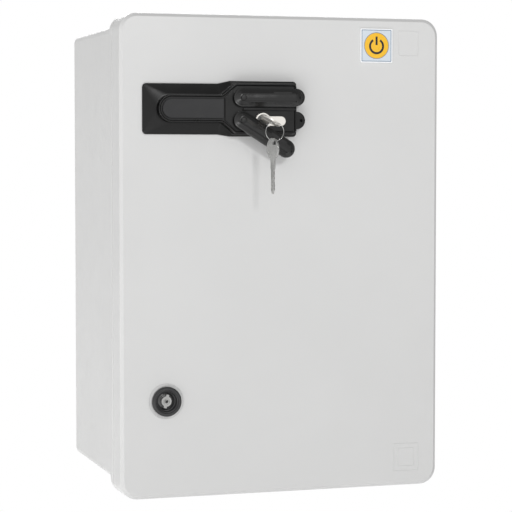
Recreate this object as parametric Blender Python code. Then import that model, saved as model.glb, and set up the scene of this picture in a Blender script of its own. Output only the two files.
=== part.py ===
"""Wall-mounted enclosed motor starter: moulded cabinet, hinged door with swing-lever lock, gear inside.

Lengths in the functions are millimetres; the object stands with X along the door, Y towards the wall and
Z up. The origin is the middle of the wall face. Each moving piece has its origin on its joint's axis.
"""

import math

import bmesh
import bpy
from mathutils import Matrix, Vector

MM = 0.001

# Cabinet
BODY_W, BODY_H, BODY_WALL, BODY_R = 332.0, 482.0, 4.0, 14.0
LIP_Y = -252.0
COLLAR_Y = (-230.5, -219.0)
DOOR_W, DOOR_H, DOOR_WALL, DOOR_R = 350.0, 500.0, 3.5, 18.0
DOOR_FRONT, DOOR_REAR = -265.0, -231.5
DOOR_SOFT = 4.0
GAP = 0.3
WALL_HOLE = (146.0, 221.0, 2.75)
PLATE_BOSS = (126.0, 190.0)
PLATE_Y = (-22.0, -20.0)

# Hinges, on the right behind the door's overhang
HINGE_X, HINGE_Y = 170.5, -212.0
HINGE_Z = (165.0, -165.0)
KNUCKLE_R, PIN_R = 4.2, 2.0
RUNNING = 0.05

# Swing-lever lock
SPINDLE = (-123.5, 152.7)
SPINDLE_R = 8.0
DISH_TOP = 6.5
LEVER_LOW, GRIP_TOP, HEAD_TOP = 7.0, 15.5, 16.5
TILT_X, TILT_OUT, HEEL_R = -133.7, 10.7, 3.7
COVER_LOW, COVER_TOP, COVER_R, COVER_SPAN = 17.8, 24.0, 9.3, 55.5
UPPER_PIVOT, LOWER_PIVOT = (-50.0, 164.0), (-50.0, 141.0)
LOWER_OPEN = math.radians(-32.0)
CYLINDER_X, CYLINDER_Z = -27.0, (164.0, 140.1)
PLUG_R, PLUG_BORE_R = 6.8, 6.93
KEY_TURN = math.radians(-31.0)
KEY_THICK, BOW_R, KEY_LENGTH = 1.6, 11.0, 57.0
RING_R, WIRE_R = 9.6, 0.45
CAM_Y = (-229.5, -226.5)

# Quarter-turn lock
QUARTER = (-126.6, -148.7)
LUG_LEAN = math.radians(12.0)

# Starter gear
RAIL_Z = (100.0, -70.0)
BREAKER_X, CONTACTOR_X = -89.5, -9.5
POLES = (-14.0, 0.0, 14.0)
GLAND_X, GLAND_Y = (-50.0, 50.0), -120.0

OBJECTS = None
CUTTERS = None
MATERIALS = {}

FINISHES = {
    "grey_moulding": ((0.66, 0.67, 0.66), 0.45, 0.0),
    "black_plastic": ((0.025, 0.025, 0.027), 0.5, 0.0),
    "grip_plastic": ((0.06, 0.06, 0.065), 0.6, 0.0),
    "nickel": ((0.72, 0.7, 0.66), 0.3, 1.0),
    "zinc_steel": ((0.62, 0.63, 0.64), 0.35, 1.0),
    "rubber": ((0.03, 0.03, 0.03), 0.85, 0.0),
    "label_film": ((0.9, 0.9, 0.86), 0.4, 0.0),
    "light_housing": ((0.72, 0.73, 0.72), 0.5, 0.0),
    "dark_housing": ((0.12, 0.125, 0.13), 0.5, 0.0),
    "copper_coil": ((0.55, 0.22, 0.1), 0.4, 1.0),
    "core_steel": ((0.4, 0.4, 0.41), 0.5, 1.0),
    "red_plastic": ((0.6, 0.03, 0.02), 0.4, 0.0),
    "blue_plastic": ((0.03, 0.12, 0.5), 0.4, 0.0),
    "terminal_grey": ((0.5, 0.5, 0.48), 0.55, 0.0),
    "wire_black": ((0.02, 0.02, 0.02), 0.5, 0.0),
}


def start_scene():
    """Empties the scene and makes the two collections and the materials."""
    global OBJECTS, CUTTERS
    for obj in list(bpy.data.objects):
        bpy.data.objects.remove(obj, do_unlink=True)
    OBJECTS = bpy.data.collections.new("motor_starter")
    CUTTERS = bpy.data.collections.new("cutters")
    for collection in (OBJECTS, CUTTERS):
        bpy.context.scene.collection.children.link(collection)
    CUTTERS.hide_render = True
    for name, (color, roughness, metallic) in FINISHES.items():
        material = bpy.data.materials.new(name)
        material.use_nodes = True
        shader = material.node_tree.nodes["Principled BSDF"]
        shader.inputs["Base Color"].default_value = (*color, 1.0)
        shader.inputs["Roughness"].default_value = roughness
        shader.inputs["Metallic"].default_value = metallic
        MATERIALS[name] = material


# Outlines


def arc(u, v, radius, start, end, steps):
    """Points of an arc, angles in degrees."""
    return [
        (
            u + radius * math.cos(math.radians(start + (end - start) * i / steps)),
            v + radius * math.sin(math.radians(start + (end - start) * i / steps)),
        )
        for i in range(steps + 1)
    ]


def rounded(u0, u1, v0, v1, radius, steps=4):
    """A rectangle's outline with rounded corners."""
    corners = ((u1, v1, 0), (u0, v1, 90), (u0, v0, 180), (u1, v0, 270))
    loop = []
    for u, v, start in corners:
        cu = u - radius if u == u1 else u + radius
        cv = v - radius if v == v1 else v + radius
        loop += arc(cu, cv, radius, start, start + 90, steps)
    return loop


def circle(u, v, radius, steps=20):
    return arc(u, v, radius, 0, 360, steps)[:-1]


def rectangle(u0, u1, v0, v1):
    return [(u0, v0), (u1, v0), (u1, v1), (u0, v1)]


def capsule(u, v, radius, span, angle, steps=8):
    """A slot's outline from its first centre, its second span away at this angle (radians)."""
    du, dv = span * math.cos(angle), span * math.sin(angle)
    turn = math.degrees(angle)
    return arc(u + du, v + dv, radius, turn - 90, turn + 90, steps) + arc(
        u, v, radius, turn + 90, turn + 270, steps
    )


def cylinder_profile(u, v, grow=0.0):
    """A profile cylinder's face: a round part with its leg pointing along +u."""
    radius, half = 8.5 + grow, 5.0 + grow
    open_at = math.degrees(math.asin(half / radius))
    leg = arc(u + 19.5, v, half, -90, 90, 6)
    return leg + arc(u, v, radius, open_at, 360 - open_at, 16)


# Meshes

FRAMES = {
    "X": Matrix(((0, 0, 1), (1, 0, 0), (0, 1, 0))).to_4x4(),
    "Y": Matrix(((1, 0, 0), (0, 0, -1), (0, 1, 0))).to_4x4(),
    "Z": Matrix.Identity(4),
}


def finished(mesh, merge=1e-6):
    """The mesh welded, with its normals out."""
    shape = bmesh.new()
    shape.from_mesh(mesh)
    bmesh.ops.remove_doubles(shape, verts=shape.verts, dist=merge)
    bmesh.ops.recalc_face_normals(shape, faces=shape.faces)
    shape.to_mesh(mesh)
    shape.free()
    return mesh


def curve_mesh(curve):
    holder = bpy.data.objects.new("outline", curve)
    mesh = bpy.data.meshes.new_from_object(holder)
    bpy.data.objects.remove(holder, do_unlink=True)
    return finished(mesh)


def slab(loops, thickness, frame):
    """Outlines filled and given a thickness about their plane; frame takes u, v and the normal to world."""
    curve = bpy.data.curves.new("outline", "CURVE")
    curve.dimensions = "2D"
    curve.fill_mode = "BOTH"
    curve.extrude = 0.5 * thickness * MM
    for loop in loops:
        spline = curve.splines.new("POLY")
        spline.points.add(len(loop) - 1)
        for point, (u, v) in zip(spline.points, loop):
            point.co = (u * MM, v * MM, 0.0, 1.0)
        spline.use_cyclic_u = True
    mesh = curve_mesh(curve)
    mesh.transform(frame)
    return mesh


def extruded(loops, low, high, axis):
    """Outlines extruded along X (u, v are Y, Z), Y (X, Z) or Z (X, Y)."""
    middle = {"X": (1, 0, 0), "Y": (0, 1, 0), "Z": (0, 0, 1)}[axis]
    shift = Matrix.Translation(Vector(middle) * (0.5 * (low + high) * MM))
    return slab(loops, high - low, shift @ FRAMES[axis])


def box(x0, x1, y0, y1, z0, z1):
    shape = bmesh.new()
    size = Matrix.Diagonal(((x1 - x0) * MM, (y1 - y0) * MM, (z1 - z0) * MM, 1.0))
    centre = Vector((x0 + x1, y0 + y1, z0 + z1)) * (0.5 * MM)
    bmesh.ops.create_cube(shape, size=1.0, matrix=Matrix.Translation(centre) @ size)
    mesh = bpy.data.meshes.new("box")
    shape.to_mesh(mesh)
    shape.free()
    return mesh


def turned(profile, axis, at, steps=24, closed=False):
    """A profile of (radius, distance along the axis) spun round the axis line through this point."""
    shape = bmesh.new()
    points = [shape.verts.new((r * MM, 0.0, t * MM)) for r, t in profile]
    pairs = list(zip(points, points[1:] + points[:1])) if closed else list(zip(points, points[1:]))
    edges = [shape.edges.new(pair) for pair in pairs]
    bmesh.ops.spin(
        shape,
        geom=points + edges,
        cent=(0, 0, 0),
        axis=(0, 0, 1),
        dvec=(0, 0, 0),
        angle=math.tau,
        steps=steps,
        use_merge=True,
        use_duplicate=False,
    )
    mesh = bpy.data.meshes.new("turned")
    shape.to_mesh(mesh)
    shape.free()
    finished(mesh)
    along = {"X": Vector((1, 0, 0)), "Y": Vector((0, 1, 0)), "Z": Vector((0, 0, 1))}[axis]
    turn = Vector((0, 0, 1)).rotation_difference(along).to_matrix().to_4x4()
    mesh.transform(Matrix.Translation(Vector(at) * MM) @ turn)
    return mesh


def rod(radius, low, high, axis, at, steps=20):
    """A cylinder along an axis, low and high being distances along it from the point."""
    return turned([(0, low), (radius, low), (radius, high), (0, high)], axis, at, steps)


def tube(points, radius):
    """A wire along a path."""
    curve = bpy.data.curves.new("wire", "CURVE")
    curve.dimensions = "3D"
    curve.bevel_depth = radius * MM
    curve.bevel_resolution = 2
    curve.use_fill_caps = True
    spline = curve.splines.new("POLY")
    spline.points.add(len(points) - 1)
    for point, place in zip(spline.points, points):
        point.co = (*(Vector(place) * MM), 1.0)
    return curve_mesh(curve)


def soft_path(points, radius, steps=4):
    """A path with its inner corners rounded."""
    path = [Vector(points[0])]
    for before, corner, after in zip(points, points[1:], points[2:]):
        before, corner, after = Vector(before), Vector(corner), Vector(after)
        a = corner + (before - corner).normalized() * radius
        b = corner + (after - corner).normalized() * radius
        for i in range(steps + 1):
            t = i / steps
            path.append(a * (1 - t) ** 2 + corner * 2 * t * (1 - t) + b * t**2)
    return path + [Vector(points[-1])]


def softened(mesh, pick, width, segments=1):
    """The mesh with a bevel along the edges whose two ends this test picks, given in millimetres."""
    shape = bmesh.new()
    shape.from_mesh(mesh)
    bmesh.ops.dissolve_limit(
        shape, angle_limit=0.001, verts=shape.verts, edges=shape.edges, use_dissolve_boundaries=False
    )
    chosen = [e for e in shape.edges if all(pick(v.co / MM) for v in e.verts) and len(e.link_faces) == 2]
    chosen = [e for e in chosen if e.calc_face_angle(0.0) > 0.3]
    bmesh.ops.bevel(
        shape,
        geom=chosen,
        offset=width * MM,
        segments=segments,
        profile=0.5,
        affect="EDGES",
        clamp_overlap=True,
    )
    shape.to_mesh(mesh)
    shape.free()
    return mesh


def merged(meshes):
    """Several closed meshes as one, for one Boolean."""
    shape = bmesh.new()
    for mesh in meshes:
        shape.from_mesh(mesh)
    mesh = bpy.data.meshes.new("merged")
    shape.to_mesh(mesh)
    shape.free()
    return mesh


# Objects


def add(name, mesh, finish, origin=(0.0, 0.0, 0.0)):
    """The object of this mesh, its origin at this point."""
    mesh.name = name
    mesh.transform(Matrix.Translation(-Vector(origin) * MM))
    mesh.materials.clear()
    mesh.materials.append(MATERIALS[finish])
    obj = bpy.data.objects.new(name, mesh)
    obj.location = Vector(origin) * MM
    OBJECTS.objects.link(obj)
    return obj


def boolean(obj, operation, *meshes):
    """A Boolean with these meshes, one modifier each."""
    for mesh in meshes:
        name = f"{operation.lower()}_{obj.name}_{len(obj.modifiers)}"
        mesh.name = name
        cutter = bpy.data.objects.new(name[:59], mesh)
        cutter.display_type = "WIRE"
        cutter.hide_render = True
        CUTTERS.objects.link(cutter)
        modifier = obj.modifiers.new(name[:59], "BOOLEAN")
        modifier.operation = operation
        modifier.solver = "EXACT"
        modifier.object = cutter
    return obj


def cut(obj, *meshes):
    return boolean(obj, "DIFFERENCE", *meshes)


def join(obj, *meshes):
    return boolean(obj, "UNION", *meshes)


def out(distance):
    """Y of a plane this far in front of the door's face."""
    return DOOR_FRONT - distance


# Cabinet


def cabinet():
    """Shell with collar, bosses, hinge notches, and its holes for the wall screws and the glands."""
    w, h = BODY_W / 2, BODY_H / 2
    mesh = extruded([rounded(-w, w, -h, h, BODY_R)], LIP_Y, 0, "Y")
    softened(mesh, lambda p: abs(p.y) < 0.01, 6.0, 2)
    shell = add("body_shell", mesh, "grey_moulding")
    collar = extruded(
        [
            rounded(-DOOR_W / 2, DOOR_W / 2, -DOOR_H / 2, DOOR_H / 2, DOOR_R),
            rounded(-w + 2, w - 2, -h + 2, h - 2, BODY_R - 2),
        ],
        *COLLAR_Y,
        "Y",
    )
    join(shell, collar)
    i, j = w - BODY_WALL, h - BODY_WALL
    cut(shell, extruded([rounded(-i, i, -j, j, BODY_R - BODY_WALL)], LIP_Y - 8, -BODY_WALL, "Y"))
    corners = [(x, z) for x in (-1, 1) for z in (-1, 1)]
    x, z = PLATE_BOSS
    bosses = [rod(7.0, -19.7, -2.0, "Y", (a * x, 0, b * z)) for a, b in corners]
    join(shell, merged(bosses))
    holes = [rod(2.6, -21.0, -7.0, "Y", (a * x, 0, b * z), 16) for a, b in corners]
    x, z, r = WALL_HOLE
    holes += [rod(r, -9.0, 9.0, "Y", (a * x, 0, b * z), 24) for a, b in corners]
    holes += [rod(12.6, -246.0, -230.0, "Z", (g, GLAND_Y, 0), 24) for g in GLAND_X]
    holes += [box(w + 0.5, w + 20, COLLAR_Y[0] - 2, COLLAR_Y[1] + 2, m - 12, m + 12) for m in HINGE_Z]
    cut(shell, merged(holes))


def gasket_and_label():
    """The door's sealing ring and the small warning plate."""
    ring = [rounded(-169, 169, -244, 244, 12), rounded(-160, 160, -235, 235, 8)]
    add("door_gasket", extruded(ring, DOOR_FRONT + DOOR_WALL + GAP, LIP_Y - GAP, "Y"), "rubber")
    plate = rounded(85.6, 121.8, 202.6, 238.6, 2.0, 3)
    add("label_plate", extruded([plate], out(1.5), out(GAP), "Y"), "label_film")


def door():
    """Deep tray door with moulded square marks and the holes of its two locks."""
    w, h = DOOR_W / 2, DOOR_H / 2
    mesh = extruded([rounded(-w, w, -h, h, DOOR_R, 5)], DOOR_FRONT, DOOR_REAR, "Y")
    softened(mesh, lambda p: abs(p.y - DOOR_FRONT) < 0.01, DOOR_SOFT, 3)
    shell = add("door_shell", mesh, "grey_moulding", (HINGE_X, HINGE_Y, 0))
    i, j = w - DOOR_WALL, h - DOOR_WALL
    inner = rounded(-i, i, -j, j, DOOR_R - DOOR_WALL, 5)
    cut(shell, extruded([inner], DOOR_FRONT + DOOR_WALL, DOOR_REAR + 8, "Y"))
    marks = (
        [rounded(128.8, 152.0, 209.7, 236.9, 1.0, 1), rounded(130.0, 150.8, 210.9, 235.7, 0.6, 1)],
        [rounded(124.7, 153.9, -234.7, -204.2, 1.0, 1), rounded(126.0, 152.6, -233.4, -205.5, 0.6, 1)],
        [rounded(129.7, 148.9, -229.6, -209.2, 0.8, 1), rounded(130.8, 147.8, -228.5, -210.3, 0.5, 1)],
    )
    join(shell, merged([extruded(mark, out(0.5), out(-1.5), "Y") for mark in marks]))
    holes = [
        rod(12.0, out(9), out(-9), "Y", (SPINDLE[0], 0, SPINDLE[1]), 28),
        rod(11.2, out(9), out(-9), "Y", (QUARTER[0], 0, QUARTER[1]), 28),
        rod(3.3, out(9), out(-9), "Y", (2.0, 0, SPINDLE[1]), 16),
    ]
    cut(shell, merged(holes))


def hinge(name, z):
    """Body bracket with two knuckles, door arm with one, and the pin through all three."""
    at = (HINGE_X, HINGE_Y, z)
    wall = BODY_W / 2 + GAP
    bracket = add(f"hinge_bracket_{name}", box(wall, wall + 2.7, -207.4, -186, z - 16, z + 16), "zinc_steel")
    ears = [box(wall, wall + 2.7, HINGE_Y, -205, z + a, z + b) for a, b in ((-16, -8.4), (8.4, 16))]
    knuckles = [rod(KNUCKLE_R, a, b, "Z", at) for a, b in ((-16, -8.4), (8.4, 16))]
    join(bracket, merged(ears), merged(knuckles))
    cut(bracket, rod(PIN_R + RUNNING, -20, 20, "Z", at, 24))
    arm = add(f"hinge_arm_{name}", box(166.8, 171.2, -251.5, -233, z - 16, z + 16), "zinc_steel", at)
    join(arm, box(166.8, 171.2, -234, HINGE_Y, z - 8, z + 8), rod(KNUCKLE_R, -8, 8, "Z", at))
    cut(arm, rod(PIN_R + RUNNING, -20, 20, "Z", at, 24))
    profile = [(0, -17), (PIN_R, -17), (PIN_R, 16.4), (3.2, 16.4), (3.0, 17.8), (0, 17.8)]
    add(f"hinge_pin_{name}", turned(profile, "Z", at, 24), "zinc_steel")


def keeper(name, z):
    """Angle on the left wall that the latch cam swings behind."""
    x = -BODY_W / 2 + BODY_WALL + GAP
    angle = [(x, -240), (x + 15, -240), (x + 15, -237), (x + 2.6, -237), (x + 2.6, -214), (x, -214)]
    add(f"latch_keeper_{name}", extruded([angle], z - 18, z + 18, "Z"), "zinc_steel")


def cam(name, x, z, reach):
    """Latch cam, hanging released; a quarter turn brings it behind its keeper."""
    arm = capsule(x, z, 8.5, reach - 6.0, math.radians(-90), 6)
    mesh = extruded([arm, circle(x, z, 4.3, 16)], *CAM_Y, "Y")
    add(name, mesh, "zinc_steel", (x, 0, z))


# Swing-lever lock


def dish():
    """Bevelled base on the door, its boss through the door and its stud."""
    loop = [(-147.4, 126.4), (-71.5, 126.2), (-58.6, 124.2), (10.5, 124.2), (14.0, 127.7), (14.0, 178.0)]
    loop += [(10.5, 181.5), (-58.6, 181.5), (-71.5, 178.6), (-147.4, 178.3), (-151.4, 174.3), (-151.4, 130.4)]
    mesh = extruded([loop], out(DISH_TOP), out(GAP), "Y")
    softened(mesh, lambda p: abs(p.y - out(DISH_TOP)) < 0.01, 4.5, 1)
    base = add("handle_dish", mesh, "black_plastic")
    boss = rod(11.7, out(1), -235.0, "Y", (SPINDLE[0], 0, SPINDLE[1]), 28)
    stud = rod(3.0, out(1), -252.0, "Y", (2.0, 0, SPINDLE[1]), 16)
    join(base, merged([boss, stud]))
    cut(base, rod(SPINDLE_R + RUNNING, out(12), -228.0, "Y", (SPINDLE[0], 0, SPINDLE[1]), 28))


def spindle():
    """Shaft with the head block that the lever tilts on, and the tilt pin."""
    x, z = SPINDLE
    profile = [(0, out(6.88)), (SPINDLE_R, out(6.88)), (SPINDLE_R, -230.0)]
    profile += [(4.0, -230.0), (4.0, -223.0), (0, -223.0)]
    shaft = add("lever_spindle", turned(profile, "Y", (x, 0, z), 28), "zinc_steel", (x, out(0), z))
    ear = arc(TILT_X, out(TILT_OUT), 2.9, 90, 270, 8)
    side = ear + [(-114.0, out(TILT_OUT + 2.9)), (-114.0, out(6.7)), (TILT_X, out(6.7))]
    join(shaft, extruded([side], z - 6.0, z + 6.0, "Z"))
    pin_at = (TILT_X, out(TILT_OUT), z)
    cut(shaft, rod(1.3, -12, 12, "Z", pin_at, 16))
    add("lever_pin", rod(1.25, -9.0, 9.0, "Z", pin_at, 16), "zinc_steel", pin_at)
    cam("lever_cam", x, z, 33.0)


def lever_outline():
    x, z = SPINDLE
    right = [(-70.2, z - 13.9), (-56.2, 127.4), (6.0, 127.4), (9.5, 130.9), (9.5, 174.7), (6.0, 178.2)]
    return right + [(-56.2, 178.2), (-70.2, z + 13.9)] + arc(x, z, 13.9, 90, 270, 12)


def lever():
    """Grip and wide head, hollow over the spindle block, with the two cylinder seats."""
    z = SPINDLE[1]
    mesh = extruded([lever_outline()], out(HEAD_TOP), out(LEVER_LOW), "Y")
    grip = add("swing_lever", mesh, "black_plastic", (TILT_X, out(TILT_OUT), z))
    places = ((164.9, 9.0), (140.9, 9.2))
    lobes = [rod(r, out(13.5), out(LEVER_LOW), "Y", (11.0, 0, c), 20) for c, r in places]
    join(grip, merged(lobes))
    heel = arc(TILT_X, out(TILT_OUT), HEEL_R, 180, 90, 6)
    top = [(25, out(LEVER_LOW)), (25, out(HEAD_TOP)), (-58, out(HEAD_TOP)), (-66, out(GRIP_TOP))]
    top += [(-135.4, out(GRIP_TOP)), (-137.4, out(GRIP_TOP - 2))]
    boolean(grip, "INTERSECT", extruded([heel + top], z - 60, z + 60, "Z"))
    ridge = [rounded(-49.0, 8.0, 151.0, 153.6, 1.2, 2)]
    join(grip, extruded(ridge, out(18.5), out(HEAD_TOP - 1), "Y"))
    holes = [box(-145, -112, out(13.9), out(5), z - 6.3, z + 6.3)]
    holes += [extruded([cylinder_profile(CYLINDER_X, c, GAP)], out(20), out(5), "Y") for c in CYLINDER_Z]
    holes += [rod(2.05, out(20), out(5), "Y", (p[0], 0, p[1]), 16) for p in (UPPER_PIVOT, LOWER_PIVOT)]
    holes += [rod(1.6, out(20), out(5), "Y", (15.4, 0, c), 12) for c in (165.4, 140.8)]
    cut(grip, merged(holes))
    cut(grip, rod(1.3, -20, 20, "Z", (TILT_X, out(TILT_OUT), z), 16))
    x0, x1, r = -133.7, -68.6, 9.9
    insert = [(x1, z - r), (x1, z + r)] + arc(x0 + r, z, r, 90, 270, 10)
    add("grip_insert", extruded([insert], out(GRIP_TOP + 1.3), out(GRIP_TOP + GAP), "Y"), "grip_plastic")


def cover(name, pivot, angle):
    """Domed cover over one cylinder, turning on its rivet."""
    mesh = extruded([capsule(*pivot, COVER_R, COVER_SPAN, angle, 10)], out(COVER_TOP), out(COVER_LOW), "Y")
    softened(mesh, lambda p: abs(p.y - out(COVER_TOP)) < 0.01, 3.5, 2)
    at = (pivot[0], out(COVER_LOW), pivot[1])
    lid = add(f"{name}_cover", mesh, "black_plastic", at)
    cut(lid, rod(2.0 + RUNNING, -12, 12, "Y", at, 20))
    profile = [(0, 7.6), (2.0, 7.6), (2.0, -6.6), (3.4, -6.6), (2.6, -8.0), (0, -8.0)]
    add(f"{name}_cover_rivet", turned(profile, "Y", at, 20), "zinc_steel")


def key_outline():
    """A flat key, its bow round the origin of v at BOW_R below the top, and the slot for the ring."""
    blade = [(-4.0, -10.0), (-4.0, -KEY_LENGTH + 15.5), (-1.2, -KEY_LENGTH + BOW_R)]
    blade += [(1.2, -KEY_LENGTH + BOW_R), (4.0, -KEY_LENGTH + 15.5), (4.0, -34), (2.6, -32)]
    blade += [(4.0, -30), (2.4, -27.5), (4.0, -25), (4.0, -10.0)]
    start = math.degrees(math.asin(-10.0 / BOW_R))
    bow = arc(0, 0, BOW_R, start, 180 - start, 20)
    return [bow + blade, rounded(0.2, 6.9, 3.8, 8.2, 1.6, 3)]


def short_key_outline():
    """The same key where it is held in the lock, ending inside the plug."""
    start = math.degrees(math.asin(-10.0 / BOW_R))
    loop = arc(0, 0, BOW_R, start, 180 - start, 20)
    loop += [(-4.0, -10.0), (-4.0, -31.5), (4.0, -31.5), (4.0, -10.0)]
    return [loop, rounded(0.2, 6.9, 3.8, 8.2, 1.6, 3)]


def keys():
    """The key in the lock, the split ring through its slot, and the spare key hanging on the ring."""
    axis = Vector((CYLINDER_X, out(41.0), CYLINDER_Z[1]))
    wide = Vector((math.cos(KEY_TURN), 0, math.sin(KEY_TURN)))
    outward = Vector((0, -1, 0))
    frame = Matrix((wide, outward, wide.cross(outward))).transposed().to_4x4()
    mesh = slab(short_key_outline(), KEY_THICK, Matrix.Translation(axis * MM) @ frame)
    add("key_in_lock", mesh, "nickel", axis)
    slot = axis + wide * 3.2 + outward * 6.0
    round_wire = [(RING_R + u, v) for u, v in circle(0, 0, WIRE_R, 8)]
    centre = slot - Vector((0, 0, RING_R))
    add("key_ring", turned(round_wire, "Y", centre, 28, closed=True), "nickel", slot)
    low = centre - Vector((0, 0, RING_R))
    lean = math.radians(-75.3)
    across, up = Vector((math.cos(lean), math.sin(lean), 0)), Vector((0, 0, 1))
    frame = Matrix((across, up, across.cross(up))).transposed().to_4x4()
    bow = low - up * (6.0 + 2.2 - WIRE_R - 0.2) - across * 3.5
    mesh = slab(key_outline(), KEY_THICK, Matrix.Translation(bow * MM) @ frame)
    add("spare_key", mesh, "nickel", low)


def cylinders():
    """The fitted half cylinder with its plug, and the blank that fills the other seat."""
    upper, lower = CYLINDER_Z
    blank = extruded([cylinder_profile(CYLINDER_X, upper)], out(16.3), out(7.3), "Y")
    add("cylinder_blank", blank, "black_plastic")
    loops = [cylinder_profile(CYLINDER_X, lower), circle(CYLINDER_X, lower, PLUG_BORE_R, 24)]
    add("lock_cylinder", extruded(loops, out(17.3), out(7.3), "Y"), "nickel")
    at = (CYLINDER_X, out(17.5), lower)
    plug = extruded([circle(CYLINDER_X, lower, PLUG_R, 24)], out(17.5), out(7.3), "Y")
    plug = add("lock_plug", plug, "nickel", at)
    way = box(-4.3, 4.3, -30, 30, -1.3, 1.3)
    way.transform(Matrix.Translation(Vector(at) * MM) @ Matrix.Rotation(-KEY_TURN, 4, "Y"))
    cut(plug, way)


def quarter_turn():
    """Cupped lock housing, its double-lug insert and the cam behind."""
    x, z = QUARTER
    profile = [(8.05, out(-4)), (10.2, out(-1)), (11.6, out(3.4)), (12.2, out(5.2))]
    profile += [(13.6, out(5.2)), (15.4, out(4.0))]
    profile += [(15.4, out(GAP)), (10.9, out(GAP)), (10.9, -235.0), (8.05, -235.0)]
    add("quarter_turn_housing", turned(profile, "Y", (x, 0, z), 32, closed=True), "black_plastic")
    shaft = [(0, out(1.5)), (5.7, out(1.5)), (5.7, out(-4.3)), (8.0, out(-4.3)), (8.0, -230.0), (4.0, -230.0)]
    shaft += [(4.0, -223.0), (0, -223.0)]
    insert = add("quarter_turn_insert", turned(shaft, "Y", (x, 0, z), 24), "nickel", (x, out(0), z))
    lugs = box(-1.6, 1.6, out(1.5), out(-5), -7.2, 7.2)
    lugs.transform(Matrix.Translation((x * MM, 0, z * MM)) @ Matrix.Rotation(LUG_LEAN, 4, "Y"))
    join(insert, lugs)
    cut(insert, rod(1.8, out(3), out(-2.5), "Y", (x, 0, z), 12))
    cam("quarter_turn_cam", x, z, 30.0)


# Starter gear


def plate_and_rails():
    x, z = PLATE_BOSS
    corners = [(a, b) for a in (-1, 1) for b in (-1, 1)]
    loops = [rounded(-138, 138, -205, 205, 6, 3)] + [circle(a * x, b * z, 2.7, 16) for a, b in corners]
    add("mounting_plate", extruded(loops, *PLATE_Y, "Y"), "zinc_steel")
    head = PLATE_Y[0] - GAP
    profile = [(0, -8.0), (2.3, -8.0), (2.3, head), (4.7, head), (4.0, -25.4), (0, -25.4)]
    for a, b in corners:
        name = "plate_screw_" + ("bottom" if b < 0 else "top") + ("_left" if a < 0 else "_right")
        add(name, turned(profile, "Y", (a * x, 0, b * z), 16), "zinc_steel")
    hat = [(12.5, -22.3), (12.5, -28.8), (17.5, -28.8), (17.5, -29.8), (11.5, -29.8), (11.5, -23.3)]
    hat = [(y, v) for v, y in hat] + [(y, -v) for v, y in reversed(hat)]
    for name, rail in zip(("upper", "lower"), RAIL_Z):
        loop = [(y, v + rail) for y, v in hat]
        add(f"din_rail_{name}", extruded([loop], -125, 125, "X"), "zinc_steel")


def rail_device(z, half, steps):
    """Side outline of a device clipped over a rail; steps are the front's (Y, half height) pairs."""
    back = [(-24.5, -half), (-24.5, -18.2), (-30.2, -18.2), (-30.2, 18.2), (-24.5, 18.2), (-24.5, half)]
    front = list(steps) + [(y, -v) for y, v in reversed(steps)]
    return [(y, v + z) for y, v in back + front]


def entries(x, y, z, up):
    """Wire holes in a device's top or bottom, one per pole."""
    low, high = (z - 7, z + 4) if up else (z - 4, z + 7)
    return merged([rod(1.9, low, high, "Z", (x + p, y, 0), 12) for p in POLES])


def breaker():
    x, z = BREAKER_X, RAIL_Z[0]
    side = rail_device(z, 45, [(-68, 45), (-68, 25), (-92, 23)])
    body = add("breaker_body", extruded([side], x - 22.5, x + 22.5, "X"), "light_housing")
    cut(body, entries(x, -50, z - 45, False), rod(3.3, -95, -84, "Y", (x, 0, z), 16))
    profile = [(0, -85), (3.0, -85), (3.0, -92.4), (11.0, -92.4), (10.4, -98.5), (0, -98.5)]
    knob = add("breaker_knob", turned(profile, "Y", (x, 0, z), 24), "dark_housing", (x, -92.4, z))
    join(knob, box(x - 2.8, x + 2.8, -103, -98, z - 9.6, z + 9.6))


def contactor():
    x, z = CONTACTOR_X, RAIL_Z[0]
    side = rail_device(z, 40, [(-72, 40)])
    base = add("contactor_base", extruded([side], x - 22.5, x + 22.5, "X"), "dark_housing")
    cut(base, box(x - 17, x + 17, -80, -40, z - 24, z + 24), entries(x, -50, z + 40, True))
    cut(base, merged([rod(1.8, z - 44, z - 28, "Z", (x + p, -34.5, 0), 12) for p in POLES]))
    lid = add("contactor_cover", box(x - 22.5, x + 22.5, -84, -72.3, z - 36, z + 36), "light_housing")
    cut(lid, box(x - 7, x + 7, -90, -60, z - 7, z + 7))
    e = [(-15, -40.3), (15, -40.3), (15, -58), (10, -58), (10, -46), (4, -46), (4, -58)]
    e += [(-4, -58), (-4, -46), (-10, -46), (-10, -58), (-15, -58)]
    core = extruded([[(x + u, y) for u, y in e]], z - 8, z + 8, "Z")
    add("magnet_core", core, "core_steel")
    ring = [rounded(x - 9.6, x + 9.6, z - 14, z + 14, 2, 2)]
    ring += [rounded(x - 4.4, x + 4.4, z - 8.5, z + 8.5, 0.5, 1)]
    add("contactor_coil", extruded(ring, -57, -46.4, "Y"), "copper_coil")
    carrier = box(x - 15, x + 15, -68, -61.8, z - 8, z + 8)
    carrier = add("contact_carrier", carrier, "red_plastic", (x, -88, z))
    join(carrier, box(x - 6, x + 6, -88, -66, z - 6, z + 6))


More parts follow.
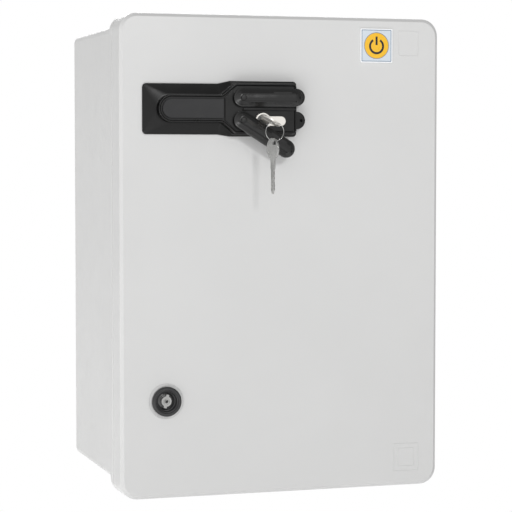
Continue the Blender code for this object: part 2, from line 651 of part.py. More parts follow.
def overload():
    x = CONTACTOR_X
    body = add("overload_body", box(x - 22.5, x + 22.5, -85, -26, 14, 59.6), "light_housing")
    join(body, merged([rod(1.5, 50, 70, "Z", (x + p, -34.5, 0), 12) for p in POLES]))
    holes = [rod(4.0, -90, -75.5, "Y", (x + 9, 0, v), 16) for v in (45, 28)]
    holes += [rod(2.3, -90, -79, "Y", (x - 9, 0, 38), 16)]
    cut(body, entries(x, -50, 14, False), merged(holes))
    dial = [(0, -80), (2.0, -80), (2.0, -85.3), (5.8, -85.3), (5.4, -88.0), (0, -88.0)]
    knob = add("overload_dial", turned(dial, "Y", (x - 9, 0, 38), 20), "light_housing", (x - 9, -85.3, 38))
    cut(knob, box(x - 9.6, x - 8.4, -90, -87, 34, 42))
    for name, finish, v in (("overload_reset", "blue_plastic", 45), ("overload_test", "red_plastic", 28)):
        profile = [(0, -79), (3.7, -79), (3.7, -87.8), (3.2, -88.6), (0, -88.6)]
        add(name, turned(profile, "Y", (x + 9, 0, v), 16), finish, (x + 9, -88.6, v))


def terminals():
    z = RAIL_Z[1]
    side = rail_device(z, 24, [(-50, 24), (-56, 12), (-66, 9)])
    block = add("terminal_block", extruded([side], -42, 30, "X"), "terminal_grey")
    cut(block, merged([rod(1.9, z + 17, z + 28, "Z", (p, -42, 0), 12) for p in (-22, -6, 10)]))


def wires():
    """Three jumpers from breaker to contactor and three leads from overload relay to terminals."""
    z = RAIL_Z[0]
    routes = ((-14, 36, -40, 148, -14), (0, 41, -49, 154, 0), (14, 46, -58, 160, 14))
    for number, (start, low, riser, high, end) in enumerate(routes, 1):
        a, b = BREAKER_X + start, CONTACTOR_X + end
        path = [(a, -50, z - 40.5), (a, -50, low), (riser, -50, low), (riser, -50, high), (b, -50, high)]
        path.append((b, -50, z + 35.5))
        add(f"line_wire_{number}", tube(soft_path(path, 4.0), 1.5), "wire_black")
    for number, (pole, x) in enumerate(zip(POLES, (-22, -6, 10)), 1):
        a = CONTACTOR_X + pole
        path = [(a, -50, 18.5), (a, -50, -6), (x, -42, -26), (x, -42, RAIL_Z[1] + 19.5)]
        add(f"motor_wire_{number}", tube(soft_path(path, 5.0), 1.5), "wire_black")


def gland(name, x):
    """Cable gland through the floor of the cabinet, and its nut inside."""
    at = (x, GLAND_Y, 0)
    outer = [(6.5, -266), (11.0, -266), (13.0, -263), (13.4, -250), (13.4, -243)]
    outer += [(12.3, -243), (12.3, -230.5), (6.5, -230.5)]
    body = add(f"gland_body_{name}", turned(outer, "Z", at, 24, closed=True), "black_plastic")
    collar = extruded([circle(x, GLAND_Y, 16.5, 6), circle(x, GLAND_Y, 9.0, 24)], -249.0, -241.3, "Z")
    join(body, collar)
    nut = [circle(x, GLAND_Y, 17.0, 6), circle(x, GLAND_Y, 12.6, 24)]
    add(f"gland_nut_{name}", extruded(nut, -236.7, -231.7, "Z"), "black_plastic")


def main():
    start_scene()
    cabinet()
    door()
    gasket_and_label()
    for name, z in zip(("upper", "lower"), HINGE_Z):
        hinge(name, z)
    keeper("upper", SPINDLE[1])
    keeper("lower", QUARTER[1])
    dish()
    spindle()
    lever()
    cover("upper", UPPER_PIVOT, 0.0)
    cover("lower", LOWER_PIVOT, LOWER_OPEN)
    cylinders()
    keys()
    quarter_turn()
    plate_and_rails()
    breaker()
    contactor()
    overload()
    terminals()
    wires()
    for name, x in zip(("left", "right"), GLAND_X):
        gland(name, x)


main()
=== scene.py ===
"""Wall-mounted enclosed motor starter: moulded cabinet, deep door with a swing-lever lock, starter gear inside.

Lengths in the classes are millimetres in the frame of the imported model: X along the door, Y towards the wall,
Z up. Most shapes are stacks of rings: an outline is inset by a distance and lifted to a height, ring by ring,
along a profile, and the rings are skinned with quads.
"""

import enum
import functools
import logging
import math
from collections.abc import Iterable
from dataclasses import dataclass, field

import bpy
import numpy as np
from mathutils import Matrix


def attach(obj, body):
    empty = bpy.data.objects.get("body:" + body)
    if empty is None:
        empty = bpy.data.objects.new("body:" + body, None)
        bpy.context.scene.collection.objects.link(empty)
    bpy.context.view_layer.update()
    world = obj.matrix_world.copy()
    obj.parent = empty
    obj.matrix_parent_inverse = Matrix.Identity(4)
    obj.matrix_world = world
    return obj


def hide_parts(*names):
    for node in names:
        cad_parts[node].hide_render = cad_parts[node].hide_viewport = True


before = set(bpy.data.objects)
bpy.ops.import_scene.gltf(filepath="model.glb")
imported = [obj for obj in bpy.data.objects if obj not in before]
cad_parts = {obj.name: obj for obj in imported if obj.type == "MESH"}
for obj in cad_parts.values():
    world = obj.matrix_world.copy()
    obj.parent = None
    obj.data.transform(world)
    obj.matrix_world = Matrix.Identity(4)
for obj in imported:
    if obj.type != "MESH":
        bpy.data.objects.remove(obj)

LOG = logging.getLogger("motor_starter")
Pair = tuple[float, float]
Triple = tuple[float, float, float]
Socket = bpy.types.NodeSocket
MM = 0.001
AXIS_GAP = 0.05  # turned solids start this far from their axis, so that their faces stay quads
CUT_EDGE = 0.05  # edge radius of a cutter
FINE_EDGE = 0.03  # edge radius of a cutter for lines and slots
FILM_EDGE = 0.02  # edge radius of a printed layer
QUADRANTS = ((-1, -1), (-1, 1), (1, -1), (1, 1))
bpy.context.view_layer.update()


# ---------------------------------------------------------------- outlines and profiles


def unit(vectors: np.ndarray) -> np.ndarray:
    """Each vector divided by its length.

    Args:
        vectors: array whose last axis is the vector.

    Returns:
        Array of the same shape, of length one along the last axis.
    """
    return vectors / np.maximum(np.linalg.norm(vectors, axis=-1, keepdims=True), 1e-12)


def corner_arcs(
    before: np.ndarray, corner: np.ndarray, after: np.ndarray, radius: np.ndarray, steps: int
) -> np.ndarray:
    """Rounds corners: each arc touches both sides of its corner, its centre on the line that halves the angle.

    Args:
        before: points on one side of each corner, shape (n, 2).
        corner: the corners, shape (n, 2).
        after: points on the other side, shape (n, 2).
        radius: radius of each arc, shape (n,). It shrinks where the sides are too short for it.
        steps: straight pieces in each arc.

    Returns:
        Points of the arcs, shape (n, steps + 1, 2).
    """
    a, b = unit(before - corner), unit(after - corner)
    half = 0.5 * np.arccos(np.clip((a * b).sum(-1), -1.0, 1.0))
    reach = radius / np.tan(half)
    sides = np.minimum(np.linalg.norm(before - corner, axis=1), np.linalg.norm(after - corner, axis=1))
    shrink = np.minimum(1.0, 0.4995 * sides / np.maximum(reach, 1e-9))
    radius, reach = radius * shrink, reach * shrink
    centre = corner + unit(a + b) * (radius / np.sin(half))[:, None]
    first, last = corner + a * reach[:, None] - centre, corner + b * reach[:, None] - centre
    start = np.arctan2(first[:, 1], first[:, 0])
    turn = (np.arctan2(last[:, 1], last[:, 0]) - start + np.pi) % (2 * np.pi) - np.pi
    angle = start[:, None] + turn[:, None] * np.linspace(0.0, 1.0, steps + 1)
    circle = np.stack([np.cos(angle), np.sin(angle)], axis=-1)
    return centre[:, None] + circle * radius[:, None, None]


@dataclass(frozen=True)
class Outline:
    """A closed outline, anticlockwise, its corners rounded."""

    corners: tuple[Pair, ...]
    radii: tuple[float, ...]
    steps: int = 8

    def ring(self, inset: float = 0.0, radius: float | None = None) -> np.ndarray:
        """The outline moved inwards: each side shifts along its normal, then the corners are rounded again.

        Args:
            inset: distance inwards, negative outwards.
            radius: corner radius to use instead of the outline's own changed by the inset.

        Returns:
            Points of the outline, shape (n, 2).
        """
        corner = np.array(self.corners)
        ahead = unit(np.roll(corner, -1, axis=0) - corner)
        inward = np.stack([-ahead[:, 1], ahead[:, 0]], axis=1)
        behind = np.roll(inward, 1, axis=0)
        share = 1.0 + (inward * behind).sum(1, keepdims=True)
        moved = corner + (inward + behind) * inset / share
        cross = behind[:, 0] * inward[:, 1] - behind[:, 1] * inward[:, 0]
        own = np.array(self.radii) - inset * np.sign(cross)
        size = np.maximum(own, 0.12) if radius is None else np.full(len(corner), radius)
        arcs = corner_arcs(np.roll(moved, 1, axis=0), moved, np.roll(moved, -1, axis=0), size, self.steps)
        return arcs.reshape(-1, 2)


def rectangle(u0: float, u1: float, v0: float, v1: float, radius: float, steps: int = 8) -> Outline:
    """A rectangle's outline with all four corners rounded alike.

    Args:
        u0, u1: left and right sides.
        v0, v1: lower and upper sides.
        radius: corner radius.
        steps: straight pieces in each corner.

    Returns:
        The outline.
    """
    return Outline(((u0, v0), (u1, v0), (u1, v1), (u0, v1)), (radius,) * 4, steps)


def circle(u: float, v: float, radius: float, steps: int = 12) -> Outline:
    """A circle as a square whose corners are rounded to its middle.

    Args:
        u, v: centre.
        radius: radius of the circle.
        steps: straight pieces in each quarter.

    Returns:
        The outline.
    """
    return rectangle(u - radius, u + radius, v - radius, v + radius, radius, steps)


def turned_outline(outline: Outline, centre: Pair, angle: float) -> Outline:
    """An outline turned about a point: the usual rotation by cosine and sine of the angle.

    Args:
        outline: the outline to turn.
        centre: the point that stays where it is.
        angle: turn in radians, anticlockwise.

    Returns:
        The turned outline.
    """
    at = np.array(outline.corners) - centre
    spin = np.array([[math.cos(angle), -math.sin(angle)], [math.sin(angle), math.cos(angle)]])
    corners = tuple(map(tuple, at @ spin.T + centre))
    return Outline(corners, outline.radii, outline.steps)


def profile(points: list[Pair], radii: list[float], steps: int = 5) -> np.ndarray:
    """An open path of (inset, height) with its inner corners rounded, and two rings close to each arc.

    Args:
        points: ends and corners of the path.
        radii: radius of each inner corner.
        steps: straight pieces in each arc.

    Returns:
        Points of the path, shape (n, 2).
    """
    path = np.array(points, float)
    arcs = corner_arcs(path[:-2], path[1:-1], path[2:], np.array(radii, float), steps)
    reach = np.minimum(0.15, 0.5 * np.array(radii, float))[:, None, None]
    lead = arcs[:, :1] + unit(path[:-2] - path[1:-1])[:, None] * reach
    tail = arcs[:, -1:] + unit(path[2:] - path[1:-1])[:, None] * reach
    inner = np.concatenate([lead, arcs, tail], axis=1).reshape(-1, 2)
    return np.concatenate([path[:1], inner, path[-1:]])


# ---------------------------------------------------------------- solids


@dataclass(frozen=True)
class Plane:
    """A place to build on: an origin, and the directions of u, v and the height above it."""

    origin: Triple
    u: Triple = (1.0, 0.0, 0.0)
    v: Triple = (0.0, 0.0, 1.0)

    def world(self, flat: np.ndarray, height: np.ndarray | float) -> np.ndarray:
        """Points over the plane: origin plus u and v times the flat coordinates plus the normal times height.

        Args:
            flat: coordinates in the plane, last axis of two.
            height: distance above the plane, along u crossed with v.

        Returns:
            Points, last axis of three.
        """
        u, v = np.array(self.u), np.array(self.v)
        tall = np.broadcast_to(np.asarray(height, float), flat.shape[:-1])[..., None]
        return np.array(self.origin) + flat[..., :1] * u + flat[..., 1:] * v + tall * np.cross(u, v)


@dataclass
class Solid:
    """Points in millimetres and the faces between them."""

    points: np.ndarray
    faces: list[tuple[int, ...]]

    def __add__(self, other: "Solid") -> "Solid":
        """Both solids in one mesh."""
        shift = len(self.points)
        faces = self.faces + [tuple(i + shift for i in face) for face in other.faces]
        return Solid(np.concatenate([self.points, other.points]), faces)

    def mesh(self, name: str) -> bpy.types.Mesh:
        """The mesh in metres.

        Args:
            name: name of the mesh.

        Returns:
            A new mesh.
        """
        mesh = bpy.data.meshes.new(name)
        mesh.from_pydata((self.points * MM).tolist(), [], self.faces)
        mesh.update()
        return mesh


def skinned(rings: np.ndarray, capped: bool = True, round_again: bool = False) -> Solid:
    """Quads between rings that follow each other, each ring closed on itself.

    Args:
        rings: points, shape (rings, points in a ring, 3).
        capped: close the first and the last ring with a flat face.
        round_again: join the last ring to the first, as on a torus.

    Returns:
        The solid.
    """
    count, around = rings.shape[:2]
    last = count if round_again else count - 1
    i, j = np.meshgrid(np.arange(last), np.arange(around), indexing="ij")
    near, far = i * around, ((i + 1) % count) * around
    beside = (j + 1) % around
    quads = np.stack([near + j, near + beside, far + beside, far + j], axis=-1).reshape(-1, 4)
    faces = list(map(tuple, quads.tolist()))
    if capped and not round_again:
        faces.append(tuple(range(around - 1, -1, -1)))
        faces.append(tuple(range((count - 1) * around, count * around)))
    return Solid(rings.reshape(-1, 3), faces)


def stacked(
    outline: Outline, path: np.ndarray, plane: Plane, radii: list[float] | None = None, round_again: bool = False
) -> Solid:
    """An outline carried along a profile of (inset, height).

    Args:
        outline: the outline at inset zero.
        path: profile, shape (n, 2).
        plane: where it stands.
        radii: corner radius at each point of the profile, where the outline's own doesn't do.
        round_again: the profile is closed, so the solid is a frame with an opening.

    Returns:
        A closed solid.
    """
    sizes = [None] * len(path) if radii is None else radii
    flat = np.stack([outline.ring(inset, size) for (inset, _), size in zip(path, sizes)])
    return skinned(plane.world(flat, np.repeat(path[:, 1:], flat.shape[1], axis=1)), round_again=round_again)


def slab(outline: Outline, low: float, high: float, plane: Plane, edge: float = 0.3) -> Solid:
    """A flat plate of an outline with its edges rounded.

    Args:
        outline: the outline.
        low, high: heights of its two faces.
        plane: where it stands.
        edge: radius of the edges.

    Returns:
        A closed solid.
    """
    path = profile([(2.5 * edge, low), (0, low), (0, high), (2.5 * edge, high)], [edge, edge], 3)
    return stacked(outline, path, plane)


def revolved(
    path: np.ndarray, plane: Plane, at: Pair = (0.0, 0.0), sides: int = 64, hollow: bool = False
) -> Solid:
    """A profile of (radius, height) turned about the plane's normal through a point.

    Args:
        path: profile, shape (n, 2): from the lowest face to the highest, or up on the outside and down on the inside.
        plane: where it stands.
        at: the axis, in the plane.
        sides: steps of the turn.
        hollow: the profile is closed and doesn't touch the axis, so the solid has a bore.

    Returns:
        A closed solid.
    """
    angle = np.linspace(0.0, 2 * np.pi, sides, endpoint=False)
    spokes = np.stack([np.cos(angle), np.sin(angle)], axis=-1)
    flat = np.array(at) + path[:, None, :1] * spokes
    return skinned(plane.world(flat, np.repeat(path[:, 1:], sides, axis=1)), round_again=hollow)


def drill(radius: float, low: float, high: float, plane: Plane, at: Pair, sides: int = 32) -> Solid:
    """A plain round cutter.

    Args:
        radius: its radius.
        low, high: heights of its ends.
        plane: where it stands.
        at: its axis, in the plane.
        sides: points round it.

    Returns:
        A closed solid.
    """
    return revolved(np.array([[radius, low], [radius, high]]), plane, at, sides)


def swept(path: np.ndarray, radius: float, sides: int = 12, closed: bool = False) -> Solid:
    """A round wire along a path: circles square to the path's direction, turned as little as the path allows.

    Args:
        path: points along the wire, shape (n, 3).
        radius: radius of the wire.
        sides: points in each circle.
        closed: whether the path ends where it starts.

    Returns:
        A closed solid.
    """
    along = unit(np.gradient(path, axis=0) if not closed else np.roll(path, -1, 0) - np.roll(path, 1, 0))
    side = np.empty_like(path)
    first = np.cross(along[0], (0.0, 0.0, 1.0))
    side[0] = unit(first if np.linalg.norm(first) > 0.1 else np.cross(along[0], (0.0, 1.0, 0.0)))
    for i in range(1, len(path)):
        side[i] = unit(side[i - 1] - along[i] * (side[i - 1] @ along[i]))
    up = np.cross(along, side)
    angle = np.linspace(0.0, 2 * np.pi, sides, endpoint=False)[None, :, None]
    rings = path[:, None] + radius * (np.cos(angle) * side[:, None] + np.sin(angle) * up[:, None])
    return skinned(rings, round_again=closed)


def soft_route(points: list[Triple], radius: float, steps: int = 8) -> np.ndarray:
    """A path with its corners eased by parabolas between points this far before and after each corner.

    Args:
        points: ends and corners.
        radius: distance from a corner at which its curve starts.
        steps: straight pieces in each curve.

    Returns:
        Points of the path, shape (n, 3).
    """
    path = np.array(points, float)
    a = path[1:-1] + unit(path[:-2] - path[1:-1]) * radius
    b = path[1:-1] + unit(path[2:] - path[1:-1]) * radius
    t = np.linspace(0.0, 1.0, steps + 1)[None, :, None]
    bends = a[:, None] * (1 - t) ** 2 + path[1:-1, None] * 2 * t * (1 - t) + b[:, None] * t**2
    return np.concatenate([path[:1], bends.reshape(-1, 3), path[-1:]])


def together(solids: Iterable[Solid]) -> Solid:
    """All the solids in one mesh."""
    return functools.reduce(Solid.__add__, solids)


def carved(
    body: Solid | bpy.types.Mesh, tools: list[Solid | bpy.types.Mesh], join: bool = False
) -> bpy.types.Mesh:
    """A shape with others cut from it, or joined to it.

    Args:
        body: shape to work on.
        tools: closed shapes.
        join: join them instead of cutting.

    Returns:
        A new mesh; meshes handed in are removed.
    """
    scene = bpy.context.scene.collection
    meshes = [shape.mesh("worked") if isinstance(shape, Solid) else shape for shape in [body, *tools]]
    made = [bpy.data.objects.new("worked", mesh) for mesh in meshes]
    for obj in made:
        scene.objects.link(obj)
    for tool in made[1:]:
        modifier = made[0].modifiers.new("work", "BOOLEAN")
        modifier.solver, modifier.object = "EXACT", tool
        modifier.operation = "UNION" if join else "DIFFERENCE"
    graph = bpy.context.evaluated_depsgraph_get()
    mesh = bpy.data.meshes.new_from_object(made[0].evaluated_get(graph))
    for obj in made:
        old = obj.data
        bpy.data.objects.remove(obj)
        bpy.data.meshes.remove(old)
    return mesh


# ---------------------------------------------------------------- finishes


class Nodes:
    """A small helper that lays out shader nodes."""

    def __init__(self, name: str) -> None:
        """Starts a material.

        Args:
            name: name of the material.
        """
        self.material = bpy.data.materials.new(name)
        self.material.use_nodes = True
        self.tree = self.material.node_tree
        self.shader = self.tree.nodes["Principled BSDF"]
        self.coordinates = self.tree.nodes.new("ShaderNodeTexCoord").outputs["Object"]

    def add(self, kind: str, **values: object) -> bpy.types.Node:
        """Adds a node.

        Args:
            kind: the node's type.
            **values: properties by name, or sockets by name with spaces as underscores.

        Returns:
            The node.
        """
        node = self.tree.nodes.new(kind)
        self.feed(node, **values)
        return node

    def feed(self, node: bpy.types.Node, **values: object) -> None:
        """Sets a node up.

        Args:
            node: the node.
            **values: properties by name, or sockets by name with spaces as underscores.
        """
        for name, value in values.items():
            if hasattr(node, name):
                setattr(node, name, value)
            elif isinstance(value, Socket):
                self.tree.links.new(value, node.inputs[name.replace("_", " ")])
            else:
                node.inputs[name.replace("_", " ")].default_value = value

    def noise(self, scale: float, detail: float = 2.0, stretch: Triple = (1, 1, 1)) -> Socket:
        """Noise on object coordinates.

        Args:
            scale: waves to a metre.
            detail: octaves.
            stretch: factors along X, Y and Z before the noise.

        Returns:
            The socket of its value.
        """
        place = self.add("ShaderNodeMapping", Vector=self.coordinates, Scale=stretch)
        node = self.add("ShaderNodeTexNoise", Vector=place.outputs[0], Scale=scale, Detail=detail)
        return node.outputs[0]

    def spread(self, value: Socket, low: float, high: float, start: float = 0.3, end: float = 0.7) -> Socket:
        """A value between start and end drawn out to low and high.

        Args:
            value: socket to read.
            low, high: results at start and end.
            start, end: values that give them.

        Returns:
            The result's socket.
        """
        limits = {"From_Min": start, "From_Max": end, "To_Min": low, "To_Max": high}
        return self.add("ShaderNodeMapRange", Value=value, **limits).outputs[0]

    def blend(self, share: Socket, first: tuple[float, ...], second: tuple[float, ...]) -> Socket:
        """A mix of two colours.

        Args:
            share: socket of the second colour's share.
            first, second: the colours, as three numbers.

        Returns:
            The colour's socket.
        """
        node = self.add("ShaderNodeMix", data_type="RGBA")
        self.tree.links.new(share, node.inputs["Factor"])
        node.inputs["A"].default_value = (*first, 1.0)
        node.inputs["B"].default_value = (*second, 1.0)
        return node.outputs["Result"]

    def bump(self, heights: list[tuple[Socket, float]]) -> None:
        """Chains bumps on to the shader's normal.

        Args:
            heights: sockets of height and the depth of each in millimetres.
        """
        normal = None
        for value, depth in heights:
            node = self.add("ShaderNodeBump", Height=value, Distance=depth * MM, Strength=1.0)
            if normal is not None:
                self.feed(node, Normal=normal)
            normal = node.outputs["Normal"]
        self.feed(self.shader, Normal=normal)


def shade(color: Triple, factor: float) -> Triple:
    """A colour made lighter or darker."""
    return tuple(min(1.0, c * factor) for c in color)


@dataclass(frozen=True)
class Moulding:
    """Moulded plastic: slow colour mottling, a fine grain and an uneven gloss."""

    color: Triple
    roughness: float = 0.45
    mottling: float = 0.03
    grain: float = 1400.0
    grain_depth: float = 0.02
    waviness: float = 0.0
    specular: float = 0.5

    def build(self, name: str) -> bpy.types.Material:
        """Makes the material.

        Args:
            name: its name.

        Returns:
            The material.
        """
        nodes = Nodes(name)
        broad, fine = nodes.noise(9.0, 3.0), nodes.noise(self.grain, 2.0)
        dark, pale = shade(self.color, 1 - self.mottling), shade(self.color, 1 + self.mottling)
        color = nodes.blend(nodes.spread(broad, 0.0, 1.0), dark, pale)
        gloss = nodes.spread(nodes.noise(60.0, 4.0), self.roughness - 0.06, self.roughness + 0.06)
        nodes.feed(nodes.shader, Base_Color=color, Roughness=gloss, Specular_IOR_Level=self.specular)
        heights = [(fine, self.grain_depth)]
        if self.waviness:
            heights.insert(0, (nodes.noise(38.0, 1.0), self.waviness))
        nodes.bump(heights)
        return nodes.material


@dataclass(frozen=True)
class Metal:
    """Plated or drawn metal: fine lines along one direction and patches of duller plating."""

    color: Triple
    roughness: float = 0.28
    lines: Triple = (1.0, 1.0, 1.0)
    line_depth: float = 0.004
    patches: float = 0.12

    def build(self, name: str) -> bpy.types.Material:
        """Makes the material.

        Args:
            name: its name.

        Returns:
            The material.
        """
        nodes = Nodes(name)
        worn = nodes.noise(70.0, 5.0)
        dull, clean = shade(self.color, 1 - self.patches), shade(self.color, 1.06)
        color = nodes.blend(nodes.spread(worn, 0.0, 1.0), dull, clean)
        drawn = nodes.noise(900.0, 3.0, self.lines)
        gloss = nodes.spread(drawn, self.roughness - 0.07, self.roughness + 0.12)
        nodes.feed(nodes.shader, Metallic=1.0, Base_Color=color, Roughness=gloss)
        nodes.bump([(drawn, self.line_depth)])
        return nodes.material


@dataclass(frozen=True)
class Spangle:
    """Hot-dip zinc on sheet: flat crystal patches of different brightness."""

    color: Triple = (0.6, 0.62, 0.64)
    size: float = 230.0

    def build(self, name: str) -> bpy.types.Material:
        """Makes the material.

        Args:
            name: its name.

        Returns:
            The material.
        """
        nodes = Nodes(name)
        cells = nodes.add("ShaderNodeTexVoronoi", Vector=nodes.coordinates, Scale=self.size)
        grey = nodes.add("ShaderNodeSeparateColor", Color=cells.outputs["Color"]).outputs[0]
        color = nodes.blend(grey, shade(self.color, 0.92), shade(self.color, 1.05))
        gloss = nodes.spread(grey, 0.36, 0.45, 0.0, 1.0)
        nodes.feed(nodes.shader, Metallic=1.0, Base_Color=color, Roughness=gloss)
        nodes.bump([(nodes.noise(500.0, 3.0), 0.006)])
        return nodes.material


@dataclass(frozen=True)
class Foam:
    """Foamed sealing strip: open pores in a soft skin, the pores coloured darker as painted shade."""

    color: Triple = (0.035, 0.035, 0.037)

    def build(self, name: str) -> bpy.types.Material:
        """Makes the material.

        Args:
            name: its name.

        Returns:
            The material.
        """
        nodes = Nodes(name)
        pores = nodes.add("ShaderNodeTexVoronoi", Vector=nodes.coordinates, Scale=1100.0).outputs["Distance"]
        # Painted shade: the pores take half the skin's colour, standing in for the shade inside them; their dips come
        # from the bump below.
        color = nodes.blend(nodes.spread(pores, 0.0, 1.0, 0.0, 0.5), shade(self.color, 0.5), self.color)
        nodes.feed(nodes.shader, Base_Color=color, Roughness=0.9)
        nodes.bump([(pores, 0.12), (nodes.noise(200.0, 3.0), 0.1)])
        return nodes.material


class Finish(enum.Enum):
    """The finishes of this object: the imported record's slot and the surface."""

    CABINET = ("grey_moulding", Moulding((0.640, 0.640, 0.636), 0.42, 0.012, 1500.0, 0.010, 0.05))
    DISH = ("black_plastic", Moulding((0.005, 0.005, 0.005), 0.34, 0.10, 2600.0, 0.014, 0.0, 0.30))
    LEVER = ("black_plastic", Moulding((0.006, 0.006, 0.006), 0.33, 0.10, 2200.0, 0.022, 0.0, 0.34))
    COVER = ("black_plastic", Moulding((0.006, 0.006, 0.006), 0.19, 0.10, 2400.0, 0.008, 0.0, 0.62))
    INLAY = ("grip_plastic", Moulding((0.026, 0.026, 0.027), 0.55, 0.12, 2600.0, 0.050, 0.0, 0.30))
    ROSETTE = ("black_plastic", Moulding((0.030, 0.030, 0.031), 0.40, 0.10, 2000.0, 0.015, 0.0, 0.45))
    BLACK_PART = ("black_plastic", Moulding((0.010, 0.010, 0.010), 0.40, 0.08, 1800.0, 0.020, 0.0, 0.4))
    NICKEL = ("nickel", Metal((0.80, 0.79, 0.77), 0.22, (1.0, 1.0, 0.15), 0.003))
    BRIGHT_KEY = ("nickel", Metal((0.50, 0.50, 0.49), 0.26, (1.0, 1.0, 0.2), 0.004, 0.15))
    # Painted shade on the lock plug: this dark metal stands in for the shade that the key's bow throws on it. The
    # quarter-turn barrel uses the same finish.
    DARK_PLUG = ("nickel", Metal((0.13, 0.13, 0.13), 0.34, (1.0, 1.0, 1.0), 0.004, 0.2))
    ZINC = ("zinc_steel", Metal((0.62, 0.64, 0.66), 0.30, (1.0, 1.0, 1.0), 0.006))
    DARK_STEEL = ("zinc_steel", Metal((0.022, 0.022, 0.024), 0.42, (1.0, 1.0, 1.0), 0.006, 0.2))
    SHEET = ("zinc_steel", Spangle())
    SEAL = ("rubber", Foam())
    LABEL_WHITE = ("label_film", Moulding((0.90, 0.91, 0.92), 0.30, 0.005, 900.0, 0.002))
    LABEL_FIELD = ("label_film", Moulding((0.62, 0.68, 0.74), 0.30, 0.01, 900.0, 0.002))
    LABEL_LINE = ("label_film", Moulding((0.10, 0.17, 0.27), 0.30, 0.02, 900.0, 0.002))
    LABEL_GREY = ("label_film", Moulding((0.20, 0.21, 0.24), 0.30, 0.02, 900.0, 0.002))
    LABEL_YELLOW = ("label_film", Moulding((0.88, 0.50, 0.02), 0.30, 0.01, 900.0, 0.002))
    LABEL_BLACK = ("label_film", Moulding((0.010, 0.012, 0.018), 0.30, 0.02, 900.0, 0.002))
    DEVICE_LIGHT = ("light_housing", Moulding((0.56, 0.57, 0.57), 0.50, 0.02, 1500.0, 0.025))
    DEVICE_DARK = ("dark_housing", Moulding((0.055, 0.058, 0.062), 0.50, 0.05, 1500.0, 0.025))
    COPPER = ("copper_coil", Metal((0.62, 0.24, 0.10), 0.32, (1.0, 30.0, 1.0), 0.03))
    LAMINATION = ("core_steel", Metal((0.34, 0.34, 0.35), 0.42, (1.0, 1.0, 3.0), 0.02))
    RED_PART = ("red_plastic", Moulding((0.50, 0.020, 0.015), 0.34, 0.03, 1500.0, 0.010))
    BLUE_PART = ("blue_plastic", Moulding((0.020, 0.085, 0.40), 0.34, 0.03, 1500.0, 0.010))
    TERMINAL = ("terminal_grey", Moulding((0.33, 0.34, 0.33), 0.55, 0.03, 1500.0, 0.025))
    INSULATION = ("wire_black", Moulding((0.018, 0.018, 0.019), 0.38, 0.05, 700.0, 0.015))
    CORE_WIRE = ("copper_coil", Metal((0.78, 0.76, 0.74), 0.30))

    def material(self) -> bpy.types.Material:
        """The finish's material, made the first time it is asked for."""
        name = self.name.lower()
        return bpy.data.materials.get(name) or self.value[1].build(name)


@dataclass
class Workshop:
    """Turns solids into finished pieces of the model."""

    made: list[str] = field(default_factory=list)

    def piece(
        self,
        name: str,
        shape: Solid | bpy.types.Mesh,
        finish: Finish,
        body: str,
        replaces: tuple[str, ...] = (),
        sharp: float = 38.0,
    ) -> bpy.types.Object:
        """Adds a piece.

        Args:
            name: its name.
            shape: its solid, or its mesh.
            finish: its surface.
            body: the body that it moves with.
            replaces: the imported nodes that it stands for.
            sharp: angle in degrees above which an edge shows as an edge.

        Returns:
            The piece.
        """
        mesh = shape.mesh(name) if isinstance(shape, Solid) else shape
        mesh.name = name
        mesh.materials.clear()
        mesh.materials.append(finish.material())
        mesh.shade_smooth()
        mesh.set_sharp_from_angle(angle=math.radians(sharp))
        obj = bpy.data.objects.new(name, mesh)
        bpy.context.scene.collection.objects.link(obj)
        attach(obj, body)
        if replaces:
            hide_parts(*replaces)
        self.made.append(name)
        LOG.info("%s: %d faces, rides on %s", name, len(mesh.polygons), body)
        return obj

    def dress(self, finish: Finish, *nodes: str) -> None:
        """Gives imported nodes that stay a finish.

        Args:
            finish: the surface.
            *nodes: names of the nodes.
        """
        for node in nodes:
            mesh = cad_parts[node].data
            mesh.materials.clear()
            mesh.materials.append(finish.material())
            LOG.info("%s: packed node, %s", node, finish.name.lower())


# ---------------------------------------------------------------- cabinet and door

DOOR_FACE = -265.0
DOOR = Plane((0.0, DOOR_FACE, 0.0))
WALL = Plane((0.0, 0.0, 0.0))
LEVEL = Plane((0.0, 0.0, 0.0), (1.0, 0.0, 0.0), (0.0, 1.0, 0.0))
SPINDLE = (-123.5, 152.7)
QUARTER = (-126.6, -148.7)


